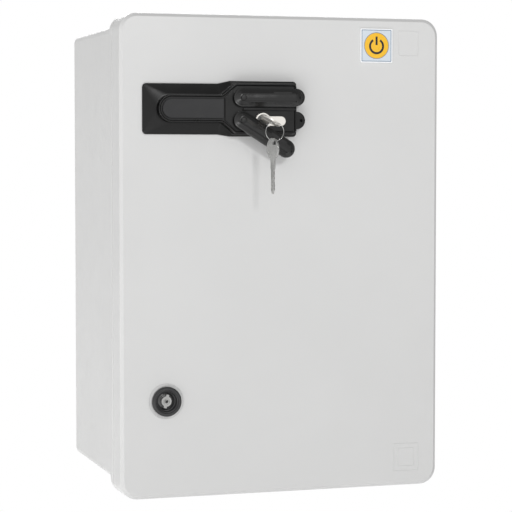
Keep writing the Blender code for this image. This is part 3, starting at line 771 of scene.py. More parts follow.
@dataclass
class Cabinet:
    """The moulded box with its collar and lip, open to the front."""

    half: Pair = (166.0, 241.0)
    wall: float = 4.0
    corner: float = 8.0
    collar: float = 9.0
    collar_heights: Pair = (219.0, 230.1)
    lip: float = 252.0
    back_edge: float = 3.5
    screw_holes: Triple = (146.0, 221.0, 3.5)
    bosses: Pair = (126.0, 190.0)
    glands: Triple = (50.0, -120.0, 12.6)
    hinges: Pair = (165.0, -165.0)

    def shell(self) -> bpy.types.Mesh:
        """Box, collar and lip in one profile, and the holes cut out.

        Returns:
            The mesh.
        """
        (w, h), (low, high) = self.half, self.collar_heights
        outline = rectangle(-w, w, -h, h, self.corner, 10)
        corners = [(24, 0), (0.8, 0), (0.0, low), (-self.collar, low), (-self.collar, high), (-0.6, high)]
        corners += [(-0.2, self.lip), (self.wall, self.lip), (self.wall + 0.4, self.wall), (26, self.wall)]
        path = profile(corners, [self.back_edge, 1.6, 1.1, 1.1, 1.2, 1.1, 1.1, 5.0], 5)
        radii = [self.corner - min(inset, self.corner - 5.0) * (1.1 if inset < 0 else 0.4) for inset, _ in path]
        x, z, r = self.screw_holes
        bore = np.array([[r, -3.0], [r, 3.0], [r, 9.0]])
        cutters = [revolved(bore, WALL, (a * x, b * z), 32) for a, b in QUADRANTS]
        gx, gy, gr = self.glands
        floor = Plane((0.0, gy, -self.half[1]), (1, 0, 0), (0, 1, 0))
        cutters += [drill(gr, -8.0, 12.0, floor, (s * gx, 0), 48) for s in (-1, 1)]
        side = Plane((w + 0.5, 0, 0), (0, 0, 1), (0, 1, 0))
        for z0 in self.hinges:
            notch = rectangle(z0 - 12, z0 + 12, -high - 2, -low + 2, 1.5, 4)
            cutters.append(slab(notch, -20, 0, side, 0.1))
        return carved(stacked(outline, path, WALL, radii), cutters)

    def standoffs(self) -> Solid:
        """Four hollow posts with a flared foot, for the mounting plate.

        Returns:
            The solid.
        """
        x, z = self.bosses
        path = profile([(2.6, 3.4), (9.0, 3.4), (7.0, 8.0), (6.8, 19.7), (2.6, 19.7)], [1.0, 3.0, 0.6], 4)
        return together(revolved(path, WALL, (a * x, b * z), 40, True) for a, b in QUADRANTS)

    def build(self, shop: Workshop) -> None:
        """Adds the pieces.

        Args:
            shop: the workshop.
        """
        shop.piece("cabinet_shell", self.shell(), Finish.CABINET, "cabinet", ("body_shell",))
        shop.piece("plate_standoffs", self.standoffs(), Finish.CABINET, "cabinet")


@dataclass
class Door:
    """The deep tray door, its moulded marks, its seal and the shallow recess round the lower lock."""

    half: Pair = (175.0, 250.0)
    corner: float = 18.0
    depth: float = 33.2
    wall: float = 3.5

    def shell(self) -> bpy.types.Mesh:
        """Tray with a two-step front edge, a rib that holds the seal and the holes of the locks.

        Returns:
            The mesh.
        """
        w, h = self.half
        outline = rectangle(-w, w, -h, h, self.corner, 12)
        corners = [(60, -3.5), (18.6, -3.5), (18.4, -11.5), (16.4, -11.5), (16.2, -3.5), (self.wall + 0.5, -3.5)]
        corners += [(self.wall, -self.depth), (0.0, -self.depth), (0.4, -2.9), (3.6, 0.0), (40, 0.0)]
        rounds = [0.8, 0.6, 0.6, 0.8, 3.0, 0.8, 0.9, 0.8, 1.0]
        path = profile(corners, rounds, 6)
        radii = [max(self.corner - 0.62 * inset, 6.0) for inset, _ in path]
        places = ((12.0, SPINDLE), (11.2, QUARTER), (3.3, (2.0, SPINDLE[1])))
        holes = [drill(r, -12.0, 6.0, DOOR, at, 56) for r, at in places]
        cone = profile([(15.6, -0.5), (17.6, -0.5), (18.4, -0.1), (18.4, 3.0), (15.6, 3.0)], [0.3, 0.2, 0.1], 4)
        cone = np.concatenate([[[AXIS_GAP, -0.5]], cone, [[AXIS_GAP, 3.0]]])
        holes.append(revolved(cone, DOOR, QUARTER, 96))
        return carved(stacked(outline, path, DOOR, radii), holes)

    def mark(self, u0: float, u1: float, v0: float, v1: float, width: float) -> Solid:
        """A moulded square line standing a little proud of the face.

        Args:
            u0, u1: left and right sides.
            v0, v1: lower and upper sides.
            width: width of the line.

        Returns:
            The solid.
        """
        corners = [(width, -0.6), (0, -0.6), (0.25, 0.34), (width - 0.25, 0.34), (width, -0.6)]
        path = profile(corners, [0.1, 0.2, 0.2], 3)[:-1]
        return stacked(rectangle(u0, u1, v0, v1, 0.8, 4), path, DOOR, round_again=True)

    def build(self, shop: Workshop) -> None:
        """Adds the pieces.

        Args:
            shop: the workshop.
        """
        shop.piece("door_moulding", self.shell(), Finish.CABINET, "door", ("door_shell",), 50.0)
        squares = (
            (128.8, 152.0, 209.7, 236.9, 1.2),
            (124.7, 153.9, -234.7, -204.2, 1.2),
            (129.7, 148.9, -229.6, -209.2, 1.1),
        )
        shop.piece("door_marks", together(self.mark(*square) for square in squares), Finish.CABINET, "door")
        corners = [(9, -3.8), (0, -3.8), (0.4, -10.4), (4.5, -12.7), (8.6, -10.4), (9, -3.8)]
        path = profile(corners, [0.6, 3, 4, 3], 5)[:-1]
        seal = stacked(rectangle(-169, 169, -244, 244, 12, 8), path[::-1], DOOR, round_again=True)
        shop.piece("door_seal", seal, Finish.SEAL, "door", ("door_gasket",))
        shop.dress(Finish.ZINC, "hinge_arm_upper", "hinge_arm_lower")


@dataclass
class Label:
    """The small plate: white edge, blue line, pale field and a plain on-off sign on a yellow disc."""

    left: float = 85.6
    right: float = 121.8
    low: float = 202.6
    high: float = 238.6

    def build(self, shop: Workshop) -> None:
        """Adds the pieces.

        Args:
            shop: the workshop.
        """
        a, b, c, d = self.left, self.right, self.low, self.high
        u, v = 0.5 * (a + b), 0.5 * (c + d)
        backing = slab(rectangle(a, b, c, d, 1.2, 5), 0.1, 1.5, DOOR, 0.25)
        shop.piece("label_backing", backing, Finish.LABEL_WHITE, "door", ("label_plate",))
        layers = (
            ("label_line", rectangle(a + 1.3, b - 1.3, c + 1.3, d - 1.3, 0.6, 4), 1.53, Finish.LABEL_LINE),
            ("label_field", rectangle(a + 2.0, b - 2.0, c + 2.0, d - 2.0, 0.4, 4), 1.56, Finish.LABEL_FIELD),
            ("label_disc_edge", circle(u, v, 14.0, 16), 1.59, Finish.LABEL_GREY),
            ("label_disc", circle(u, v, 13.3, 16), 1.62, Finish.LABEL_YELLOW),
        )
        for name, outline, top, finish in layers:
            shop.piece(name, slab(outline, 1.3, top, DOOR, FILM_EDGE), finish, "door")
        shop.piece("label_sign", self.sign(u, v), Finish.LABEL_BLACK, "door")

    def sign(self, u: float, v: float) -> Solid:
        """An open ring with an upright bar in its gap.

        Args:
            u, v: centre.

        Returns:
            The solid.
        """
        angle = np.radians(np.linspace(122.0, 418.0, 40))
        spokes = np.stack([np.cos(angle), np.sin(angle)], axis=-1)
        centre = np.array([u, v - 0.6])
        corners = np.array([[6.2, 1.4], [8.5, 1.4], [8.5, 1.65], [6.2, 1.65]])
        flat = centre + spokes[:, None] * corners[None, :, :1]
        rings = DOOR.world(flat, np.broadcast_to(corners[:, 1], flat.shape[:2]))
        bar = slab(rectangle(u - 1.15, u + 1.15, v + 0.6, v + 9.6, 0.3, 3), 1.4, 1.65, DOOR, FILM_EDGE)
        return skinned(rings[::-1]) + bar


# ---------------------------------------------------------------- swing-lever lock

LEVER_OUTLINE = Outline(
    ((-137.4, 138.8), (-70.2, 138.8), (-56.2, 127.4), (9.5, 127.4),
     (9.5, 178.2), (-56.2, 178.2), (-70.2, 166.6), (-137.4, 166.6)),
    (13.85, 5.0, 5.0, 3.5, 3.5, 5.0, 5.0, 13.85),
    10,
)
CYLINDERS = ((-27.0, 164.0), (-27.0, 140.1))
SEAT_FLOOR = 7.35


def cylinder_outline(at: Pair, grow: float = 0.0) -> Outline:
    """A profile cylinder's face: a circle and its leg, which points along +u.

    Args:
        at: centre of the round part.
        grow: distance to enlarge it by.

    Returns:
        The outline.
    """
    radius, half = 8.5 + grow, 5.0 + grow
    leg = np.radians(np.linspace(-90, 90, 17))
    opening = math.asin(half / radius)
    body = np.linspace(opening, 2 * np.pi - opening, 40)
    points = [(at[0] + 19.5 + half * math.cos(a), at[1] + half * math.sin(a)) for a in leg]
    points += [(at[0] + radius * math.cos(a), at[1] + radius * math.sin(a)) for a in body]
    return Outline(tuple(points), (0.3,) * len(points), 1)


def capsule(at: Pair, radius: float, span: float, angle: float, steps: int = 14) -> Outline:
    """A capsule from one centre to another, this far apart at this angle.

    Args:
        at: first centre.
        radius: radius of the ends.
        span: distance between the centres.
        angle: direction in radians.
        steps: straight pieces in each quarter.

    Returns:
        The outline.
    """
    flat = rectangle(at[0] - radius, at[0] + span + radius, at[1] - radius, at[1] + radius, radius * 0.999, steps)
    return turned_outline(flat, at, angle)


@dataclass
class SwingHandle:
    """Bevelled dish, lever with its inlay and wide head, two covers on rivets."""

    dish_top: float = 6.5
    tilt: Triple = (-133.7, 10.7, 3.7)
    cover_radius: float = 9.3
    cover_span: float = 55.5
    pivots: tuple[Pair, Pair] = ((-50.0, 164.0), (-50.0, 141.0))
    angles: Pair = (0.0, -32.0)

    def dish(self) -> bpy.types.Mesh:
        """A low edge wall, then slopes up to the crest that follows the lever, with the shaft's bore.

        Each ring is a share t of the crest's outline and 1 - t of the base's outline.

        Returns:
            The mesh.
        """
        base = Outline(
            ((-151.4, 126.4), (-71.5, 126.2), (-58.6, 124.2), (14.0, 124.2),
             (14.0, 181.5), (-58.6, 181.5), (-71.5, 178.6), (-151.4, 178.3)),
            (4.0, 6.0, 6.0, 3.5, 3.5, 6.0, 6.0, 4.0),
            10,
        )
        wall = profile([(4.0, 0.05), (0.0, 0.05), (0.0, 1.9), (1.2, 2.3)], [0.3, 0.7], 5)
        top = self.dish_top
        rings = [DOOR.world(base.ring(inset), height) for inset, height in wall]
        first, last = base.ring(1.2), LEVER_OUTLINE.ring(-0.9)
        for t, height in ((0.5, 2.3 + 0.5 * (top - 2.5)), (0.96, top - 0.22), (1.0, top - 0.04)):
            rings.append(DOOR.world(first * (1 - t) + last * t, height))
        rings.append(DOOR.world(LEVER_OUTLINE.ring(-0.5), top))
        rings.append(DOOR.world(LEVER_OUTLINE.ring(1.0), top - 0.1))
        return carved(skinned(np.stack(rings)), [drill(8.3, -2.0, 12.0, DOOR, SPINDLE, 56)])

    def seats(self) -> list[Solid]:
        """Cutters for the two cylinders and the two rivets."""
        seats = [slab(cylinder_outline(at, 0.25), 5.0, 20.0, DOOR, CUT_EDGE) for at in CYLINDERS]
        return seats + [drill(2.05, 5.0, 20.0, DOOR, at) for at in self.pivots]

    def lever(self) -> bpy.types.Mesh:
        """Rim, groove and floor, ramped up to the head, its heel rounded about the tilt axis.

        Heights above the middle grow by a smooth step of one millimetre where the grip meets the head. Points
        below the tilt axis and beyond it are pulled in to the heel's radius.

        Returns:
            The mesh.
        """
        corners = [(6.0, 7.05), (0.0, 7.05), (0.0, 15.5), (1.05, 15.5), (2.0, 14.25), (5.0, 14.25)]
        path = profile(corners, [0.8, 0.5, 0.35, 0.4], 4)
        solid = stacked(LEVER_OUTLINE, path, DOOR)
        x, height = solid.points[:, 0], DOOR_FACE - solid.points[:, 1]
        step = np.clip((x + 67.0) / 9.0, 0.0, 1.0)
        height = height + np.where(height > 11.0, 1.0, 0.0) * step * step * (3 - 2 * step)
        px, ph, radius = self.tilt
        reach = np.hypot(x - px, height - ph)
        pull = np.where((x < px) & (height < ph) & (reach > radius), radius / np.maximum(reach, 1e-9), 1.0)
        solid.points[:, 0] = px + (x - px) * pull
        solid.points[:, 1] = DOOR_FACE - (ph + (height - ph) * pull)
        lobes = [
            revolved(profile([(0.5, 7.05), (r, 7.05), (r, 13.5), (0.5, 13.5)], [0.6, 1.4], 4), DOOR, (11.0, c), 56)
            for c, r in ((164.9, 9.0), (140.9, 9.2))
        ]
        seats = self.seats()
        spindle = rectangle(-136.8, -111.7, SPINDLE[1] - 6.35, SPINDLE[1] + 6.35, 0.5, 3)
        tools = [*seats[:2], slab(spindle, 4.0, 13.8, DOOR, CUT_EDGE), *seats[2:]]
        tools += [drill(1.6, 9.0, 20.0, DOOR, (15.4, c)) for c in (165.4, 140.8)]
        return carved(carved(solid, lobes, True), tools)

    def head(self) -> bpy.types.Mesh:
        """The grained pad of the head inside the rim, and the neck towards the grip.

        Returns:
            The mesh.
        """
        outline = Outline(
            ((-67.6, 141.3), (-55.4, 129.7), (7.3, 129.7), (7.3, 175.9), (-55.4, 175.9), (-67.6, 164.2)),
            (1.5, 4.0, 2.0, 2.0, 4.0, 1.5),
            6,
        )
        return carved(slab(outline, 12.5, 16.0, DOOR, 0.45), self.seats())

    def inlay(self) -> Solid:
        """The soft inlay of the grip, round at one end and square at the other.

        Returns:
            The solid.
        """
        z, r = SPINDLE[1], 9.9
        outline = Outline(
            ((-133.6, z - r), (-68.9, z - r), (-68.9, z + r), (-133.6, z + r)), (9.8, 0.5, 0.5, 9.8), 14
        )
        return slab(outline, 13.1, 16.75, DOOR, 0.6)

    def cover(self, at: Pair, angle: float) -> bpy.types.Mesh:
        """A capsule with a step at its edge, three flutes along its back, two pockets and a hole in its tip.

        Args:
            at: its pivot.
            angle: direction in degrees.

        Returns:
            The mesh.
        """
        turn = math.radians(angle)
        outline = capsule(at, self.cover_radius, self.cover_span, turn)
        corners = [(3.0, 17.85), (0.0, 17.85), (0.0, 20.3), (1.3, 20.9), (2.0, 21.5), (5.4, 23.6), (9.2, 24.0)]
        path = profile(corners, [0.4, 0.5, 0.5, 0.5, 0.45], 4)
        body = stacked(outline, path, DOOR, [max(self.cover_radius - i, 0.08) for i, _ in path])
        hole = (at[0] + 61.2 * math.cos(turn), at[1] + 61.2 * math.sin(turn))
        tools = [drill(2.05, 15.0, 26.0, DOOR, at), drill(0.9, 19.0, 26.0, DOOR, hole, 24)]
        for side in (-1, 1):
            v = at[1] + side * 3.75
            flute = rectangle(at[0] - 4.5, at[0] + 57.5, v - 0.8, v + 0.8, 0.78, 5)
            tools.append(slab(turned_outline(flute, at, turn), 22.2, 30.0, DOOR, CUT_EDGE))
            low, high = sorted((at[1] + side * 3.5, at[1] + side * 6.2))
            pocket = rectangle(at[0] + 33.0, at[0] + 52.5, low, high, 0.6, 4)
            tools.append(slab(turned_outline(pocket, at, turn), 22.3, 30.0, DOOR, CUT_EDGE))
        return carved(body, tools)

    def rivet(self, at: Pair) -> Solid:
        """A domed rivet.

        Args:
            at: its axis.

        Returns:
            The solid.
        """
        corners = [(AXIS_GAP, 10.2), (2.0, 10.2), (2.0, 24.35), (3.4, 24.35), (2.6, 25.6), (AXIS_GAP, 25.8)]
        return revolved(profile(corners, [0.3, 0.1, 0.3, 0.9], 4), DOOR, at, 48)

    def build(self, shop: Workshop) -> None:
        """Adds the pieces.

        Args:
            shop: the workshop.
        """
        shop.piece("handle_base", self.dish(), Finish.DISH, "door", ("handle_dish",), 16.0)
        shop.piece("lever_body", self.lever(), Finish.LEVER, "lever", ("swing_lever",), 32.0)
        shop.piece("lever_pad", self.head(), Finish.LEVER, "lever", (), 32.0)
        shop.piece("grip_inlay", self.inlay(), Finish.INLAY, "lever", ("grip_insert",))
        path = profile([(0, 15.6), (0, 18.45), (1.25, 18.5)], [0.5], 4)
        ridge = stacked(rectangle(-49, 8, 151.0, 153.6, 1.28, 6), path, DOOR, [1.28 - min(i, 1.2) for i, _ in path])
        shop.piece("lever_ridge", ridge, Finish.LEVER, "lever")
        for name, at, angle in zip(("upper", "lower"), self.pivots, self.angles):
            node = f"{name}_cover"
            shop.piece(f"{name}_lock_cover", self.cover(at, angle), Finish.COVER, node, (node,), 14.0)
            shop.piece(f"{name}_rivet", self.rivet(at), Finish.BLACK_PART, "lever", (f"{node}_rivet",))
        shop.dress(Finish.ZINC, "lever_cam")
        shop.dress(Finish.DARK_STEEL, "lever_spindle", "lever_pin")


@dataclass
class LockSet:
    """The half cylinder, its plug, the blank in the upper seat, the key in the lock and the keys on the ring."""

    key_turn: float = -31.0
    key_thick: float = 1.6
    bow_radius: float = 11.0
    length: float = 57.0
    ring_radius: float = 9.6
    wire_radius: float = 0.45
    spare_lean: float = -75.3

    def key_plane(self) -> Plane:
        """The middle plane of the key in the lock: u across the bow, v out of the lock."""
        turn = math.radians(self.key_turn)
        x, z = CYLINDERS[1]
        return Plane((x, DOOR_FACE - 41.0, z), (math.cos(turn), 0.0, math.sin(turn)), (0.0, -1.0, 0.0))

    def slot(self) -> np.ndarray:
        """Where the ring passes through the key in the lock."""
        return self.key_plane().world(np.array([[3.2, 6.0]]), 0.0)[0]

    def spare_plane(self) -> Plane:
        """The middle plane of the hanging key: u across the bow, v upwards."""
        lean = math.radians(self.spare_lean)
        across = np.array([math.cos(lean), math.sin(lean), 0.0])
        low = self.slot() - np.array([0.0, 0.0, 2 * self.ring_radius])
        slot_top, play = 8.2, 0.2
        at = low - np.array([0.0, 0.0, slot_top - self.wire_radius - play]) - across * 3.5
        return Plane(tuple(at), tuple(across), (0.0, 0.0, 1.0))

    def key(self, plane: Plane, blade: list[Pair]) -> bpy.types.Mesh:
        """A flat key: its bow's arc closed by the blade's outline, with a slot, a stamped panel and a groove.

        Args:
            plane: its middle plane, with the bow's centre at the origin.
            blade: the outline from the left shoulder round to the right one.

        Returns:
            The mesh.
        """
        start = math.asin(-10.0 / self.bow_radius)
        angle = np.linspace(start, np.pi - start, 56)
        bow = [(self.bow_radius * math.cos(a), self.bow_radius * math.sin(a)) for a in angle]
        outline = Outline(tuple(bow + blade), (0.3,) * (len(bow) + len(blade)), 1)
        half = 0.5 * self.key_thick
        body = slab(outline, -half, half, plane, 0.22)
        tip = min(v for _, v in blade)
        tools = [slab(rectangle(0.2, 6.9, 3.8, 8.2, 1.6, 6), -3.0, 3.0, plane, CUT_EDGE)]
        for side in (-1, 1):
            low, high = (half - 0.22, 3.0) if side > 0 else (-3.0, 0.22 - half)
            tools.append(slab(rectangle(-7.4, 7.4, -6.2, 2.2, 2.2, 6), low, high, plane, CUT_EDGE))
            tools.append(slab(rectangle(-1.9, -0.6, tip + 3.0, -10.8, 0.4, 3), low, high, plane, CUT_EDGE))
        tools.append(slab(rectangle(1.0, 2.0, tip + 3.0, -10.8, 0.3, 3), half - 0.3, 3.0, plane, CUT_EDGE))
        return carved(body, tools)

    def ring(self) -> Solid:
        """A split ring: a wire that goes round twice while it moves over by its own thickness.

        Returns:
            The solid.
        """
        turns, radius = np.linspace(0.0, 4 * np.pi, 145), self.ring_radius
        shift = (turns / (4 * np.pi) - 0.5) * 0.42
        centre = self.slot() - np.array([0.0, 0.0, radius])
        return swept(centre + np.stack([radius * np.sin(turns), shift, radius * np.cos(turns)], axis=1), 0.3, 12)

    def plug(self) -> bpy.types.Mesh:
        """The plug with its keyway and a rounded rim.

        Returns:
            The mesh.
        """
        x, z = CYLINDERS[1]
        corners = [(AXIS_GAP, SEAT_FLOOR), (6.78, SEAT_FLOOR), (6.78, 17.5), (AXIS_GAP, 17.5)]
        body = revolved(profile(corners, [0.2, 0.35], 4), DOOR, (x, z), 72)
        way = rectangle(x - 4.3, x + 4.3, z - 1.2, z + 1.2, 0.3, 3)
        way = turned_outline(way, (x, z), math.radians(self.key_turn))
        return carved(body, [slab(way, 5.0, 20.0, DOOR, CUT_EDGE)])

    def cylinder(self) -> bpy.types.Mesh:
        """The fitted half cylinder's face round the plug.

        Returns:
            The mesh.
        """
        body = slab(cylinder_outline(CYLINDERS[1]), SEAT_FLOOR, 17.3, DOOR, 0.35)
        return carved(body, [drill(6.83, 5.0, 20.0, DOOR, CYLINDERS[1], 72)])

    def blank(self) -> bpy.types.Mesh:
        """The blank in the upper seat, with a shallow round dimple.

        Returns:
            The mesh.
        """
        body = slab(cylinder_outline(CYLINDERS[0]), SEAT_FLOOR, 16.3, DOOR, 0.35)
        dimple = profile([(AXIS_GAP, 15.7), (5.6, 15.7), (6.2, 18.0), (AXIS_GAP, 18.0)], [0.3, 0.2], 3)
        return carved(body, [revolved(dimple, DOOR, CYLINDERS[0], 56)])

    def build(self, shop: Workshop) -> None:
        """Adds the pieces.

        Args:
            shop: the workshop.
        """
        shop.piece("fitted_cylinder", self.cylinder(), Finish.NICKEL, "lever", ("lock_cylinder",))
        shop.piece("seat_blank", self.blank(), Finish.BLACK_PART, "lever", ("cylinder_blank",))
        # Painted shade: the plug gets dark metal in place of the cylinder's nickel, standing in for the shade of the
        # key's bow over it.
        shop.piece("cylinder_plug", self.plug(), Finish.DARK_PLUG, "lock_plug", ("lock_plug",))
        short = [(-4.0, -10.0), (-4.0, -31.5), (4.0, -31.5), (4.0, -10.0)]
        turned = self.key(self.key_plane(), short)
        shop.piece("turned_key", turned, Finish.NICKEL, "lock_plug", ("key_in_lock",))
        end = -self.length + self.bow_radius
        blade = [(-3.6, -10.0), (-3.6, -20.0), (-2.7, -22.0), (-2.7, end + 4.0), (-1.0, end), (1.0, end)]
        blade += [(2.7, end + 4.0), (2.7, -37.0), (2.2, -35.6), (2.5, -34.0), (2.0, -32.2), (2.6, -30.0)]
        blade += [(2.1, -28.0), (2.5, -26.0), (2.3, -24.0), (2.7, -22.0), (3.6, -20.0), (3.6, -10.0)]
        hanging = self.key(self.spare_plane(), blade)
        shop.piece("hanging_key", hanging, Finish.BRIGHT_KEY, "spare_key", ("spare_key",))
        shop.piece("split_ring", self.ring(), Finish.BRIGHT_KEY, "key_ring", ("key_ring",))


@dataclass
class QuarterTurnLock:
    """The cupped housing of the lower lock and its insert with two lugs."""

    lean: float = 12.0

    def cup(self) -> Solid:
        """The housing: rounded flange, a cup with two fine steps, and the barrel through the door.

        Returns:
            The solid.
        """
        corners = [(8.05, -30.0), (10.9, -30.0), (10.9, 0.3), (15.4, 0.3), (15.4, 4.1), (13.8, 5.2), (12.3, 5.2)]
        corners += [(11.7, 3.6), (10.9, 3.4), (10.2, -0.8), (9.2, -1.0), (8.7, -3.6), (8.05, -3.8)]
        rounds = [0.3, 0.2, 0.3, 0.9, 0.7, 0.5, 0.3, 0.25, 0.6, 0.25, 0.3]
        return revolved(profile(corners, rounds, 4), DOOR, QUARTER, 96, True)

    def barrel(self) -> Solid:
        """The dark barrel behind the insert and the stud that carries the cam.

        Returns:
            The solid.
        """
        corners = [(AXIS_GAP, -42.0), (3.95, -42.0), (3.95, -35.0), (8.0, -35.0), (8.0, -4.3), (AXIS_GAP, -4.3)]
        return revolved(profile(corners, [0.4, 0.3, 0.5, 0.6], 3), DOOR, QUARTER, 72)

    def insert(self) -> bpy.types.Mesh:
        """Round core joined to a bar of two lugs, drilled in the middle.

        Returns:
            The mesh.
        """
        path = [(AXIS_GAP, -6.0), (5.7, -6.0), (5.7, 1.1), (5.3, 1.5), (3.4, 1.5), (3.2, 1.1), (2.6, 1.1)]
        core = revolved(np.array(path + [(2.4, 1.5), (AXIS_GAP, 1.5)]), DOOR, QUARTER, 72)
        u, v = QUARTER
        bar = rectangle(u - 1.6, u + 1.6, v - 7.2, v + 7.2, 0.5, 4)
        bar = slab(turned_outline(bar, QUARTER, -math.radians(self.lean)), -5.0, 1.45, DOOR, 0.25)
        return carved(carved(core, [bar], True), [drill(1.8, -8.0, 4.0, DOOR, QUARTER)])

    def build(self, shop: Workshop) -> None:
        """Adds the pieces.

        Args:
            shop: the workshop.
        """
        shop.piece("lower_lock_cup", self.cup(), Finish.ROSETTE, "door", ("quarter_turn_housing",), 30.0)
        shop.piece("lower_lock_insert", self.insert(), Finish.BRIGHT_KEY, "quarter_turn", ("quarter_turn_insert",))
        shop.piece("lower_lock_barrel", self.barrel(), Finish.DARK_PLUG, "quarter_turn")
        shop.dress(Finish.ZINC, "quarter_turn_cam")


# ---------------------------------------------------------------- starter gear

@dataclass
class StarterGear:
    """Plate, rails, breaker, contactor, overload relay, terminals and wires."""

    upper_rail: float = 100.0
    lower_rail: float = -70.0
    breaker_x: float = -89.5
    contactor_x: float = -9.5
    poles: Triple = (-14.0, 0.0, 14.0)
    lead_x: Triple = (-22.0, -6.0, 10.0)
    half_width: float = 22.5
    slices: int = 9
    slice_pitch: float = 8.0
    wire_y: float = -50.0
    pin_y: float = -34.5
    wire_radius: float = 1.5

    def housing(self, x: float, half: float, side: list[Pair], edge: float = 0.6) -> Solid:
        """A housing with one side outline: the outline in (Y, Z) stacked along X with rounded edges.

        Args:
            x: its middle.
            half: half its width.
            side: side outline of (Y, Z), in order round it.
            edge: radius of its edges.

        Returns:
            The solid.
        """
        area = sum(a[0] * b[1] - b[0] * a[1] for a, b in zip(side, side[1:] + side[:1]))
        order = side if area > 0 else side[::-1]
        outline = Outline(tuple(order), (0.5,) * len(order), 3)
        return slab(outline, -half, half, Plane((x, 0, 0), (0, 1, 0), (0, 0, 1)), edge)

    def rail_side(self, z: float, half: float, steps: list[Pair]) -> list[Pair]:
        """Side outline of a device clipped on a rail.

        Args:
            z: height of the rail.
            half: half the height of the device at its back.
            steps: (Y, half height) pairs of its front.

        Returns:
            Points of (Y, Z).
        """
        back = [(-24.6, -half), (-24.6, -18.1), (-30.3, -18.1), (-30.3, 18.1), (-24.6, 18.1), (-24.6, half)]
        front = steps + [(y, -v) for y, v in reversed(steps)]
        return [(y, v + z) for y, v in back + front]

    def screws(self, places: list[Triple], radius: float) -> bpy.types.Mesh:
        """Cross-slotted screw heads facing the front, each in one mesh.

        Args:
            places: (X, Y of the head's face, Z) of each.
            radius: radius of a head.

        Returns:
            The mesh.
        """
        path = profile([(AXIS_GAP, -3.0), (radius, -3.0), (radius, 0.0), (AXIS_GAP, 0.0)], [0.2, 0.35], 3)
        heads, slots = [], []
        for number, (x, y, z) in enumerate(places):
            plane = Plane((0.0, y, 0.0))
            heads.append(revolved(path, plane, (x, z), 28))
            for quarter in (0.4 * number, 0.4 * number + math.pi / 2):
                bar = rectangle(x - radius * 0.72, x + radius * 0.72, z - 0.32, z + 0.32, 0.1, 2)
                slots.append(slab(turned_outline(bar, (x, z), quarter), -1.1, 1.0, plane, FINE_EDGE))
        return carved(together(heads), slots)

    def wells(self, x: float, y: float, z: float, depth: float) -> list[Solid]:
        """Round cutters over the screws of the three poles.

        Args:
            x: the device's middle.
            y: Y of its face.
            z: height of the row.
            depth: depth of each well.

        Returns:
            The solids.
        """
        return [drill(2.9, -depth, 3.0, Plane((0.0, y, 0.0)), (x + p, z)) for p in self.poles]

    def entries(self, x: float, z: float, upward: bool) -> list[Solid]:
        """Square cutters where the wires go in.

        Args:
            x: the device's middle.
            z: height of the face.
            upward: whether the wires come from above.

        Returns:
            The solids.
        """
        low, high = (z - 9, z + 4) if upward else (z - 4, z + 9)
        holes = [rectangle(x + p - 3, x + p + 3, self.wire_y - 3, self.wire_y + 3, 0.6, 3) for p in self.poles]
        return [slab(hole, low, high, LEVEL, CUT_EDGE) for hole in holes]

    def breaker(self, shop: Workshop) -> None:
        """The motor protection breaker with its rotary knob.

        Args:
            shop: the workshop.
        """
        x, z = self.breaker_x, self.upper_rail
        side = self.rail_side(z, 45, [(-68, 45), (-68, 25), (-92, 23)])
        tools = self.entries(x, z - 45, False) + self.entries(x, z + 45, True)
        tools += self.wells(x, -68, z + 35, 5.0) + self.wells(x, -68, z - 35, 5.0)
        nose = Plane((0, -92, 0))
        ring = [(11.6, -0.7), (12.6, -0.7), (12.6, 1.0), (11.6, 1.0), (11.6, -0.7)]
        ring = profile(ring, [0.1, 0.1, 0.1], 2)[:-1]
        tools += [drill(3.3, -8, 4, nose, (x, z)), revolved(ring, nose, (x, z), 64, True)]
        tools.append(drill(2.6, -2.0, 2.0, nose, (x + 15.5, z - 16)))
        for s in (-1, 1):
            seam = rectangle(x - 23, x + 23, z + s * 44 - 0.5, z + s * 44 + 0.5, 0.1, 2)
            tools.append(slab(seam, -2.0, 2.0, Plane((0, -68, 0)), FINE_EDGE))
        body = carved(self.housing(x, self.half_width, side), tools)
        shop.piece("breaker_housing", body, Finish.DEVICE_LIGHT, "cabinet", ("breaker_body",))
        spots = [(x + p, -64.2, z + s * 35) for p in self.poles for s in (-1, 1)]
        shop.piece("breaker_screws", self.screws(spots, 2.6), Finish.ZINC, "cabinet")
        setting = self.screws([(x + 15.5, -91.2, z - 16)], 2.3)
        shop.piece("breaker_setting", setting, Finish.DEVICE_DARK, "cabinet")
        plane = Plane((0, -92.45, 0))
        corners = [(AXIS_GAP, -7.0), (2.95, -7.0), (2.95, 0.0), (11.0, 0.0), (10.5, 6.0), (AXIS_GAP, 6.0)]
        disc = revolved(profile(corners, [0.2, 0.2, 0.5, 0.8], 4), plane, (x, z), 64)
        ridge = profile([(0, 5.2), (0.3, 10.5), (2.0, 10.5)], [0.9], 4)
        bar = stacked(rectangle(x - 2.8, x + 2.8, z - 9.6, z + 9.6, 1.4, 5), ridge, plane)
        groove = slab(rectangle(x - 0.5, x + 0.5, z + 2, z + 8.6, 0.3, 3), 9.9, 12, plane, FINE_EDGE)
        knob = carved(carved(disc, [bar], True), [groove])
        shop.piece("breaker_handle", knob, Finish.DEVICE_DARK, "breaker_knob", ("breaker_knob",))

